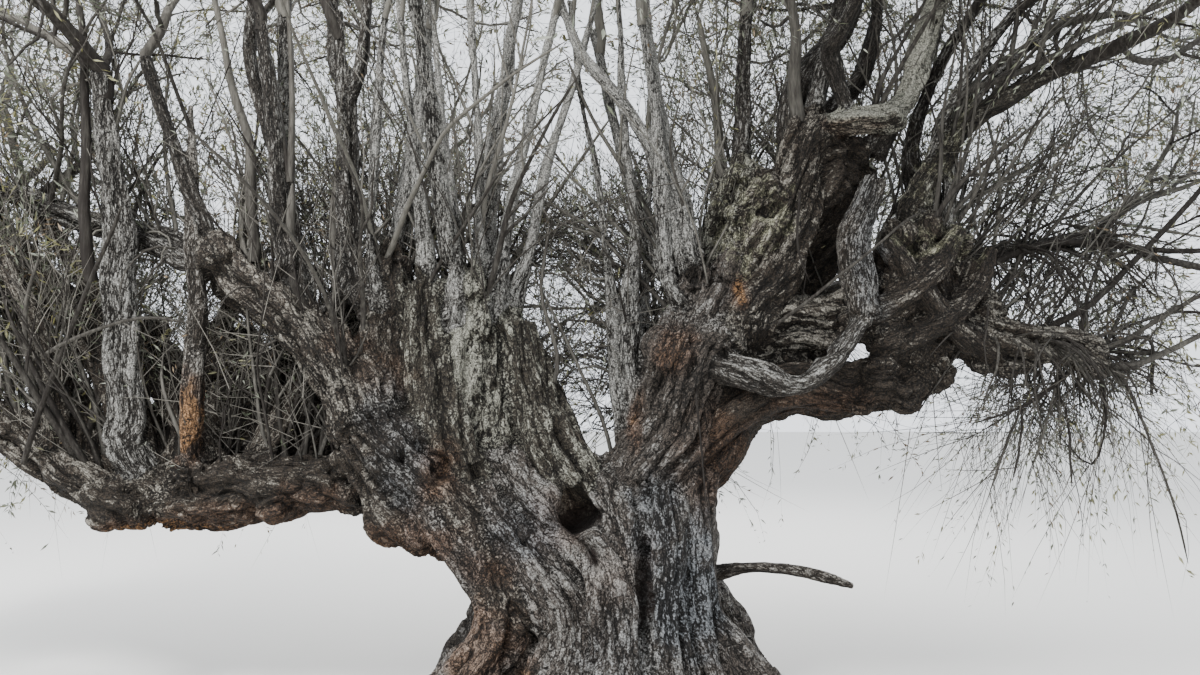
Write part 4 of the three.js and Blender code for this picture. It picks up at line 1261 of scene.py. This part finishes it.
# Limbs seen one by one in the crown: radii at both ends in metres, then points in centimetres.
SINGLE_LIMBS = [(start, end, metres(points)) for start, end, points in [
    (0.016, 0.01, [(-295, 6, 118), (-268, -8, 182), (-236, -19, 244)]),
    (0.034, 0.016, [(-262, 2, 210), (-266, 0, 256), (-268, 2, 310), (-274, 2, 362)]),
    (0.032, 0.014, [(-182, 6, 220), (-186, 8, 278), (-198, 10, 320), (-210, 10, 370)]),
    (0.036, 0.02, [(-150, 4, 186), (-160, 2, 210), (-162, 0, 260)]),
    (0.02, 0.01, [(-162, 0, 260), (-172, 0, 310), (-184, 0, 372)]),
    (0.02, 0.01, [(-162, 0, 260), (-163, 2, 310), (-168, 0, 372)]),
    (0.034, 0.022, [(-136, 8, 202), (-142, 10, 230), (-137, 10, 295)]),
    (0.02, 0.01, [(-137, 10, 295), (-143, 10, 330), (-145, 10, 376)]),
    (0.02, 0.01, [(-137, 10, 295), (-130, 10, 330), (-126, 10, 376)]),
    (0.03, 0.016, [(60, 26, 260), (57, 30, 312), (48, 30, 360)]),
    (0.024, 0.01, [(160, 2, 222), (162, 0, 262), (170, -6, 298), (210, -10, 316), (275, -16, 346),
     (320, -18, 366)]),
    (0.02, 0.009, [(166, 0, 260), (180, 0, 305), (228, 4, 342), (260, 10, 366)]),
    (0.024, 0.01, [(176, 6, 208), (201, 10, 222), (232, 10, 230), (304, 10, 227), (350, 10, 236)]),
    (0.02, 0.009, [(220, 2, 186), (246, 0, 202), (298, 0, 256), (340, 0, 305)]),
    (0.022, 0.009, [(236, -1, 170), (262, 0, 168), (296, 0, 182), (346, 2, 208)]),
    (0.01, 0.005, [(242, -3, 172), (253, -6, 160), (263, -7, 135), (275, -7, 100), (281, -7, 70)]),
    (0.011, 0.006, [(80, -14, 186), (96, -27, 199), (118, -30, 216), (140, -27, 234), (152, -14, 242)]),
    (0.009, 0.005, [(94, -12, 256), (90, -22, 240), (90, -22, 222), (95, -20, 206)]),
    (0.016, 0.008, [(-42, 2, 136), (-26, -4, 166), (-34, 0, 202), (-30, 2, 240)]),
    (0.013, 0.006, [(5, 2, 106), (-2, 2, 134), (-18, 0, 170), (-36, 2, 210)]),
    (0.007, 0.004, [(41, -19, 158), (41.5, -27, 132), (43, -29, 103)]),
    (0.013, 0.008, [(-280, -6, 172), (-257, -7, 183), (-231, -7, 192), (-207, -2, 188)]),
]]
# Spaces filled by crooked side shoots off the nearest limb: middle x, y, z, half sizes, and how many.
TANGLES = [
    (-0.18, 0.16, 1.85, 0.30, 0.14, 0.55, 60), (-2.60, 0.56, 1.75, 1.45, 0.32, 0.60, 150),
    (-3.80, 0.40, 1.80, 0.50, 0.40, 0.70, 50), (2.35, 0.36, 2.15, 0.75, 0.24, 0.45, 44),
    (-1.20, 0.50, 2.10, 0.60, 0.24, 0.50, 46), (2.55, 0.04, 1.45, 0.40, 0.24, 0.28, 16),
]


def tangles(grower, draw):
    """Crooked side shoots from the nearest limb into the spaces between the limbs"""
    wood = np.vstack([*limb_paths().values(), *(curve_through(rows, 0.08) for *_, rows in EXTRAS)])
    for x, y, z, rx, ry, rz, count in TANGLES:
        for _ in range(count):
            spot = np.array((x, y, z)) + draw.uniform(-1, 1, 3) * (rx, ry, rz)
            apart = np.linalg.norm(wood[:, :3] - spot, axis=1) + 0.7 * np.maximum(wood[:, 2] - spot[2], 0)
            foot = wood[apart.argmin()]
            gap = spot - foot[:3]
            size = np.linalg.norm(gap)
            points = [foot[:3], foot[:3] + 0.35 * gap + 0.16 * size * draw.normal(size=3),
                      foot[:3] + 0.70 * gap + 0.16 * size * draw.normal(size=3), spot,
                      spot + 0.12 * draw.normal(size=3) + (0, 0, 0.16)]
            grower.add(points, min(0.014, 0.006 + 0.012 * size) * draw.uniform(0.6, 1.2), 0.003, 0.008, draw)


def young_shoots(grower, draw):
    """Straight young shoots that rise from the old heads"""
    young = []
    for name, low, high, count, lean, longest, thick, behind in SHOOTS:
        path = limb_paths()[name]
        for _ in range(count):
            k = int(draw.uniform(low, high) * (len(path) - 1))
            foot = path[k]
            rear = 1 if draw.random() * 100 < behind else -1
            outward = np.array((0.9 * draw.normal(), rear * draw.uniform(0.2, 1.0), 0.7))
            way = unit(np.array((lean + 0.32 * draw.normal(), rear * abs(0.34 * draw.normal()), 1.0)))
            root = foot[:3] + 0.50 * foot[3] * unit(outward)
            length = longest * draw.uniform(0.40, 1.0)
            radius = max(0.005, thick * draw.uniform(0.12, 1.0) ** 1.4)
            points = walked(root, way, length, 4, 0.13, 0.05 * (1 - abs(lean)), draw,
                            veer=0.10 * draw.normal(size=3))
            limb = grower.add(points, radius, max(0.003, radius * 0.3), 0.006, draw)
            young.append((limb, length))
    return young


def hanging_sprays(grower, draw):
    """Thin sprays that hang from the outer boughs"""
    for name, low, high, count, longest in HANGING:
        path = limb_paths()[name]
        for _ in range(count):
            foot = path[int(draw.uniform(low, high) * (len(path) - 1))]
            away = unit(np.array((draw.normal() * 0.7 + 0.5 * np.sign(foot[0]), 0.8 * draw.normal(), 0.25)))
            if abs(foot[0]) < 1.7:
                away[1] = abs(away[1])
            length = longest * draw.uniform(0.45, 1.0)
            points = walked(foot[:3] + 0.5 * foot[3] * away, away, length, 5, 0.20, -0.42, draw)
            grower.add(points, draw.uniform(0.005, 0.010), 0.0028, 0.005, draw)


def side_shoots(grower, young, draw):
    """A few thin shoots on the sides of each young shoot"""
    for limb, length in young:
        for _ in range(draw.integers(1, 4)):
            k = int(draw.uniform(0.3, 0.9) * (len(limb) - 2))
            way = unit(limb[k + 1, :3] - limb[k, :3])
            way = unit(way + 0.75 * unit(np.cross(way, draw.normal(size=3))))
            size = length * draw.uniform(0.2, 0.45)
            points = walked(limb[k, :3], way, size, 3, 0.12, 0.10, draw)
            grower.add(points, limb[k, 3] * 0.7, 0.0028, 0.005, draw)


def sorted_by_group(spots, masses):
    """The crown group of each spot: the group of the nearest leaf mass"""
    middles = np.array([mass.middle for mass in masses])
    size = np.array([(mass.high - mass.low) / 2 for mass in masses])
    nearest = np.empty(len(spots), np.int32)
    for low in range(0, len(spots), BLOCK):
        gap = (spots[low:low + BLOCK, None, :] - middles) / size
        nearest[low:low + BLOCK] = (gap ** 2).sum(2).argmin(1)
    return np.array([mass.group for mass in masses])[nearest]


def tubes_from(paths, sides):
    """Vertices, quads and tones of many thin tubes at once, each narrowed at its tip"""
    around = 2 * math.pi * np.arange(sides) / sides
    spots, quads, tones, count = [], [], [], 0
    for path in paths:
        # Each limb has a tone of its own, drawn from where it starts.
        own = (abs(math.sin(path[0, 0] * 91.7 + path[0, 2] * 37.3 + path[-1, 1] * 17.1)) * 7919.0) % 1.0
        # Limbs that reach in front of the trunk are painted darker: painted shade.
        own *= 0.45 if path[:, 1].min() < -0.1 else 1.0
        _, side, third = frames_along(path[:, :3])
        ring = (np.cos(around)[None, :, None] * side[:, None] + np.sin(around)[None, :, None] * third[:, None])
        radius = path[:, 3].copy()
        radius[-1] *= 0.25
        spots.append((path[:, None, :3] + ring * radius[:, None, None]).reshape(-1, 3))
        row, column = np.divmod(np.arange((len(path) - 1) * sides), sides)
        after = (column + 1) % sides
        quads.append(np.column_stack([row * sides + column, row * sides + after,
                                      (row + 1) * sides + after, (row + 1) * sides + column]) + count)
        middle = path[len(path) // 2]
        # Limbs low in the crown are painted darker: painted shade.
        own *= 0.55 + 0.45 * step01(1.6, 2.7, middle[2])
        # Limbs in the middle of the crown, from about 2.3 m up, are painted at least this pale: painted haze
        # light.
        pale = 0.75 * step01(1.5, 0.9, abs(middle[0] + 0.3)) * step01(2.3, 2.8, middle[2])
        tones.append(np.repeat(np.maximum(own * step01(0.045, 0.008, path[:, 3]), pale), sides))
        count += len(path) * sides
    return np.vstack(spots), np.vstack(quads), np.concatenate(tones)


def inside_box(spots, margin=0.0):
    """Spots pulled back inside the CAD box and its allowed room"""
    return np.clip(spots, np.maximum(LOW - ROOM, (-99, -99, 0)) + margin, HIGH + ROOM - margin)


@functools.cache
def grow_crown():
    """The limbs of the crown, which kind each is (0 boughs, 1 shoots, 2 tangles), and the leaf masses"""
    draw = np.random.default_rng(CROWN_SEED)
    masses = [Mass(name) for name in MASSES]
    grower = crown_network(masses, draw)
    counts = [len(grower.paths)]
    young = young_shoots(grower, draw)
    hanging_sprays(grower, draw)
    side_shoots(grower, young, draw)
    for start, end, points in SINGLE_LIMBS:
        grower.add(points, start, end, 0.010, draw)
    counts.append(len(grower.paths))
    tangles(grower, draw)
    for path in grower.paths:
        path[:, :3] = inside_box(path[:, :3], 0.02)
        path[:, 2] = np.maximum(path[:, 2], LOWEST)
    kinds = np.searchsorted(counts, np.arange(len(grower.paths)), side="right")
    return grower.paths, kinds, masses


def bough_pieces(material):
    """The thin limbs of the crown, one piece for each group of leaf masses"""
    paths, _, masses = grow_crown()
    groups = sorted_by_group(np.array([path[len(path) // 2, :3] for path in paths]), masses)
    for number, label in enumerate(CROWN_GROUPS):
        mine = [path for path, group_number in zip(paths, groups) if group_number == number]
        spots, quads, tones = tubes_from([path for path in mine if path[0, 3] > THICK_LIMB], THICK_SIDES)
        thin = [path for path in mine if path[0, 3] <= THICK_LIMB]
        more, others, more_tones = tubes_from(thin, THIN_SIDES)
        quads = np.vstack([quads, others + len(spots)])
        thing = mesh_from("crown_boughs_" + label, inside_box(np.vstack([spots, more])), quads, [material])
        store(thing, "tone", np.concatenate([tones, more_tones]))
        finish_piece(thing, "foliage", [mass.name for mass in masses if mass.group == number])


def before_the_wood(spots):
    """How far a spot stands in front of the trunk and the heads, 0 not at all and 1 well in front"""
    across, ahead, up = (spots - VIEW_SPOT).T
    ahead = np.maximum(ahead, 0.1)
    low = step01(0.52, 0.42, up / ahead)
    wide = step01(0.78, 0.66, np.abs(across) / ahead)
    return step01(0.10, -0.16, spots[:, 1]) * low * wide


# Where twigs stand closer or wider than elsewhere: middle x, y, z, half sizes, and how many times as many.
TWIG_SPACES = [
    (-0.18, 0.20, 1.85, 0.45, 0.60, 0.70, 3.0), (-2.70, 0.60, 1.75, 1.80, 0.80, 0.80, 1.5),
    (-0.55, 0.00, 3.20, 1.00, 1.20, 0.80, 0.20), (2.50, 0.00, 1.30, 1.10, 0.60, 0.50, 2.0),
    (-0.50, 2.20, 3.90, 1.10, 1.10, 0.90, 0.60),
]


@functools.cache
def grow_twigs(count, usual_length):
    """Where each twig starts, its way, its bend, its length, its radius and its crown group"""
    draw = np.random.default_rng(TWIG_SEED)
    paths, kinds, masses = grow_crown()
    thin = [(path, kind) for path, kind in zip(paths, kinds) if path[-1, 3] < TWIG_BEARER]
    kind = np.concatenate([np.full(len(path), kind) for path, kind in thin])
    rows = np.vstack([path for path, _ in thin])
    ways = np.vstack([unit(np.gradient(path[:, :3], axis=0)) for path, _ in thin])
    last = np.concatenate([np.arange(len(path)) / (len(path) - 1) for path, _ in thin])
    chance = np.where(rows[:, 3] < 0.012, 1.0, 0.25) * (0.25 + last)
    chance *= np.where(rows[:, 2] < 1.0, 0.35, 1.0) * (1 - 0.92 * before_the_wood(rows[:, :3]))
    for row in TWIG_SPACES:
        chance *= np.where(far_from(rows[:, :3], row) < 1, row[6], 1.0)
    for number, share in enumerate(TWIG_SHARES):
        chance[kind == number] *= share / chance[kind == number].sum()
    pick = draw.choice(len(rows), count, p=chance / chance.sum())
    way = ways[pick]
    spread = unit(np.cross(way, draw.normal(size=(count, 3))))
    outward = unit(rows[pick, :3] - (0.0, 0.0, 2.2))
    open_way = 0.55 + 0.65 * draw.random((count, 1))
    way = unit(way + open_way * spread + 0.30 * outward + (0, 0, 0.10))
    start = rows[pick, :3] + 0.5 * ways[pick] * draw.uniform(-0.08, 0.08, (count, 1))
    length = usual_length * draw.uniform(0.45, 1.5, count) ** 1.1
    right = step01(1.4, 2.6, rows[pick, 0]) * step01(2.9, 1.9, rows[pick, 2])
    droop = np.where(draw.random(count) < 0.25 + 0.6 * right, draw.uniform(0.4, 1.3, count), -0.15)
    bend = np.column_stack([0.42 * draw.normal(size=count), 0.42 * draw.normal(size=count), -droop])
    radius = draw.uniform(0.0014, 0.0026, count)
    # Twigs that would hang near the ground are shorter.
    drop = -length * (way[:, 2] + 0.5 * bend[:, 2])
    length *= np.clip((start[:, 2] - 0.40) / np.maximum(drop, 0.01), 0.2, 1.0)
    # Twigs that would reach before the trunk turn to the back.
    ahead = before_the_wood(start + length[:, None] * (way + 0.5 * bend)) > 0.25
    way[ahead, 1], bend[ahead, 1] = np.abs(way[ahead, 1]), np.abs(bend[ahead, 1])
    return start, way, bend, length, radius, sorted_by_group(start, masses)


def twig_pieces(settings, material):
    """The twigs: three-sided, in three lengths bent along the way, and pointed"""
    start, way, bend, length, radius, groups = grow_twigs(settings.twig_count, settings.twig_length)
    shape = bmesh.new()
    bmesh.ops.create_circle(shape, segments=3, radius=1.0)
    edges = shape.edges[:]
    for _ in range(3):
        rim, edges = extruded(shape, edges)
        bmesh.ops.translate(shape, verts=rim, vec=(0, 0, 1 / 3))
    bmesh.ops.pointmerge(shape, verts=rim, merge_co=(0, 0, 1))
    bmesh.ops.triangulate(shape, faces=shape.faces[:])
    pattern, faces = arrays_of(shape)
    x, y, t = pattern.T[:, None, :, None]
    for number, label in enumerate(CROWN_GROUPS):
        mine = groups == number
        p, w, c, size, r = start[mine], way[mine], bend[mine], length[mine], radius[mine]
        side = unit(np.cross(w, (0.3, 0.5, 0.81)))
        third = np.cross(w, side)
        line = p[:, None] + size[:, None, None] * (t * w[:, None] + 0.5 * t ** 2 * c[:, None])
        thin = r[:, None, None] * (1.25 - 0.85 * t)
        spots = line + thin * (x * side[:, None] + y * third[:, None])
        thing = many_of("crown_twigs_" + label, faces, spots, [material])
        tones = np.random.default_rng(number).random(len(p))
        # Twigs low on the left are painted paler: painted light where the left boughs shade them.
        tones += 0.35 * step01(-1.0, -1.6, p[:, 0]) * step01(2.5, 2.0, p[:, 2])
        store(thing, "tone", np.repeat(tones, len(pattern)))
        finish_piece(thing, "foliage")


# Leaf colours above and below, and how often a spray has each.
LEAF_KINDS = [
    ("grey_green", (0.098, 0.110, 0.066), (0.235, 0.246, 0.190), 0.36),
    ("deep_green", (0.048, 0.060, 0.030), (0.180, 0.195, 0.145), 0.22),
    ("silver", (0.185, 0.200, 0.155), (0.330, 0.340, 0.280), 0.16),
    ("yellow_green", (0.180, 0.170, 0.060), (0.290, 0.280, 0.160), 0.16),
    ("dry_brown", (0.165, 0.112, 0.058), (0.240, 0.180, 0.115), 0.10),
]
YELLOW_KIND, DEEP_KIND = 3, 1


def leaf_pieces(settings, materials):
    """The leaves: two faces each, in sprays of one colour on the twigs"""
    draw = np.random.default_rng(LEAF_SEED)
    start, way, bend, length, _, groups = grow_twigs(settings.twig_count, settings.twig_length)
    shape = bmesh.new()
    corner = [shape.verts.new(v) for v in ((0, 0, 0), (0.5, 0.42, 0.06), (-0.5, 0.42, 0.06), (0, 1, 0))]
    for ring in ((0, 1, 3), (0, 3, 2)):
        shape.faces.new([corner[k] for k in ring])
    bmesh.ops.recalc_face_normals(shape, faces=shape.faces[:])
    pattern, faces = arrays_of(shape)
    shares = np.array([kind[3] for kind in LEAF_KINDS])
    kind_of_twig = draw.choice(len(LEAF_KINDS), len(start), p=shares / shares.sum())
    # Sprays near each other share a colour more often than not.
    cloud = Lattice(SPRAY_NOISE)(start * 1.6)
    kind_of_twig = np.where((cloud > 0.25) & (draw.random(len(start)) < 0.6), YELLOW_KIND, kind_of_twig)
    kind_of_twig = np.where((cloud < -0.25) & (draw.random(len(start)) < 0.5), DEEP_KIND, kind_of_twig)
    twigs = np.nonzero(draw.random(len(start)) < LEAFY_SHARE)[0]
    total = settings.leaf_count
    low = step01(2.5, 2.1, start[twigs, 2]) * step01(0.55, 0.25, start[twigs, 1])
    weight = length[twigs] * (1 - 0.8 * before_the_wood(start[twigs])) * (1 - 0.5 * low)
    owner = np.sort(draw.choice(twigs, total, p=weight / weight.sum()))
    t = draw.uniform(0.22, 1.0, total) ** 0.8
    w, c, size = way[owner], bend[owner], length[owner]
    spot = start[owner] + size[:, None] * (t[:, None] * w + 0.5 * t[:, None] ** 2 * c)
    line = unit(w + t[:, None] * c)
    spread = unit(np.cross(line, draw.normal(size=(total, 3))))
    along = unit(line + spread * draw.uniform(0.5, 1.3, (total, 1)))
    across = unit(np.cross(along, spread + 0.3 * draw.normal(size=(total, 3))))
    up = np.cross(across, along)
    x, y, z = spot.T
    far_out = np.maximum(np.abs(y) / 2.6, np.maximum((z - 2.6) / 1.8, np.abs(x) / 4.2))
    long = settings.leaf_length * draw.uniform(0.6, 1.25, total) * (1 + 0.5 * step01(0.4, 0.9, far_out))
    wide = long * draw.uniform(0.18, 0.27, total)
    for number, label in enumerate(CROWN_GROUPS):
        mine = groups[owner] == number
        spots = spot[mine][:, None]
        for values, reach, axis in zip(pattern.T, (wide, long, long), (across, along, up)):
            spots = spots + values[:, None] * reach[mine][:, None, None] * axis[mine][:, None]
        mark = np.repeat(kind_of_twig[owner[mine]], len(faces))
        thing = many_of("crown_leaves_" + label, faces, spots, materials, mark)
        store(thing, "midrib", np.tile((1.0, 0.0, 0.0, 1.0), len(spots)))
        finish_piece(thing, "foliage")


# slot: (material, then factors on the groove, bark and crest colours, fineness, lichen cover, streaks)
BARKS = {
    "trunk_bark": ("Trunk bark", (1, 1, 1), (1.75, 1.78, 1.85), (0.87, 0.88, 0.90), 0.9, 0.02, 0.0),
    "bough_bark": ("Bough bark", (1, 1, 1), (0.96, 0.90, 0.83), (0.91, 0.885, 0.83), 1.0, 0.0, 0.0),
    "stem_bark": ("Stem bark", (1.6, 1.7, 1.8), (1.2, 1.24, 1.28), (1.10, 1.13, 1.16), 1.2, 0.0, 1.0),
    "lichened_bark": ("Lichened bark", (1, 1, 1), (1.05, 1.08, 1.0), (1.0, 1.03, 0.95), 1.0, 0.07, 0.0),
    "dead_wood": ("Dead wood", (1.5, 1.4, 1.2), (1.2, 1.18, 1.16), (1.05, 1.04, 1.03), 1.3, -0.1, 0.7),
}


class OLIVE_OT_wood(bpy.types.Operator):
    """Trunk and boughs as one fluted, cracked skin, cut into pieces"""
    bl_idname = "olive.wood"
    bl_label = "Trunk and boughs"

    def execute(self, context):
        settings = context.scene.olive
        colours = settings.deep_colour, settings.bark_colour, settings.crest_colour
        groups = fibre_group(), lichen_group()
        materials = {}
        for slot, (name, *factors, fineness, lichen, streaks) in BARKS.items():
            toned = [tuple(min(1.0, c * f) for c, f in zip(*pair)) for pair in zip(colours, factors)]
            materials[slot] = bark_material(groups, name, *toned, fineness, lichen, streaks)
        wood_pieces(settings, materials)
        return {"FINISHED"}


class OLIVE_OT_boughs(bpy.types.Operator):
    """Thin boughs, young shoots and side shoots of the crown"""
    bl_idname = "olive.boughs"
    bl_label = "Crown boughs"

    def execute(self, context):
        bough_pieces(twig_material("Young bark", (0.014, 0.011, 0.009), (0.165, 0.156, 0.134)))
        return {"FINISHED"}


class OLIVE_OT_twigs(bpy.types.Operator):
    """Thin bent twigs on the crown's boughs"""
    bl_idname = "olive.twigs"
    bl_label = "Twigs"

    def execute(self, context):
        material = twig_material("Twig bark", (0.016, 0.013, 0.011), (0.170, 0.158, 0.135))
        twig_pieces(context.scene.olive, material)
        return {"FINISHED"}


class OLIVE_OT_leaves(bpy.types.Operator):
    """Small narrow leaves in sprays on the twigs"""
    bl_idname = "olive.leaves"
    bl_label = "Leaves"

    def execute(self, context):
        materials = [leaf_material("Leaf " + name.replace("_", " "), upper, under)
                     for name, upper, under, _ in LEAF_KINDS]
        leaf_pieces(context.scene.olive, materials)
        return {"FINISHED"}


class OLIVE_OT_stage(bpy.types.Operator):
    """Plain floor, soft light and the camera at the photograph's viewing angle"""
    bl_idname = "olive.stage"
    bl_label = "Floor, light and camera"

    def execute(self, context):
        settings = context.scene.olive
        scene = context.scene
        shape = bmesh.new()
        bmesh.ops.create_grid(shape, x_segments=2, y_segments=2, size=40.0)
        floor = placed("floor", bpy.data.meshes.new("floor"))
        shape.to_mesh(floor.data)
        shape.free()
        material, tree, paint = new_material("Floor")
        tree.feed(paint, {"Base Color": (*settings.floor_colour, 1.0), "Roughness": 0.9})
        floor.data.materials.append(material)
        scene.world = bpy.data.worlds.new("Soft sky")
        scene.world.use_nodes = True
        sky = scene.world.node_tree
        Tree(sky).feed(sky.nodes["Background"].inputs, {"Color": (0.90, 0.94, 1.0, 1.0), "Strength": 2.1})
        for label, place, aim, size, power in (
                ("key", (-4.0, -5.0, 9.0), (0.0, 0.0, 1.4), 2.5, 2400.0),
                ("rim", (2.0, 6.5, 8.0), (0.0, 0.0, 2.6), 5.0, 1200.0)):
            lamp = placed(label, bpy.data.lights.new(label, "AREA"))
            lamp.data.energy, lamp.data.size = power, size
            lamp.location = place
            lamp.rotation_euler = (Vector(aim) - Vector(place)).to_track_quat("-Z", "Y").to_euler()
        camera = placed("camera", bpy.data.cameras.new("camera"))
        camera.data.sensor_fit = "HORIZONTAL"
        camera.data.sensor_width = SENSOR_WIDTH
        camera.data.lens = FOCAL_LENGTH / FRAME_WIDTH * SENSOR_WIDTH
        camera.data.clip_end = 200.0
        camera.location = (*VIEW_SPOT[:2], settings.eye_height)
        camera.rotation_euler = (math.radians(VIEW_TURN), 0.0, 0.0)
        scene.camera = camera
        return {"FINISHED"}


class OLIVE_PT_panel(bpy.types.Panel):
    """The steps that build the tree"""
    bl_idname = "OLIVE_PT_panel"
    bl_label = "Olive tree"
    bl_space_type = "VIEW_3D"
    bl_region_type = "UI"
    bl_category = "Olive"

    def draw(self, context):
        for step in STEPS:
            self.layout.operator(step.bl_idname)
        for name in Settings.__annotations__:
            self.layout.prop(context.scene.olive, name)


STEPS = (OLIVE_OT_wood, OLIVE_OT_boughs, OLIVE_OT_twigs, OLIVE_OT_leaves, OLIVE_OT_stage)
CLASSES = (Settings, *STEPS, OLIVE_PT_panel)


def register():
    for item in CLASSES:
        bpy.utils.register_class(item)
    bpy.types.Scene.olive = bpy.props.PointerProperty(type=Settings)


def unregister():
    del bpy.types.Scene.olive
    for item in reversed(CLASSES):
        bpy.utils.unregister_class(item)


def main():
    register()
    bpy.ops.olive.stage()
    bpy.ops.olive.wood()
    bpy.ops.olive.boughs()
    bpy.ops.olive.twigs()
    bpy.ops.olive.leaves()


if __name__ == "__main__":
    main()
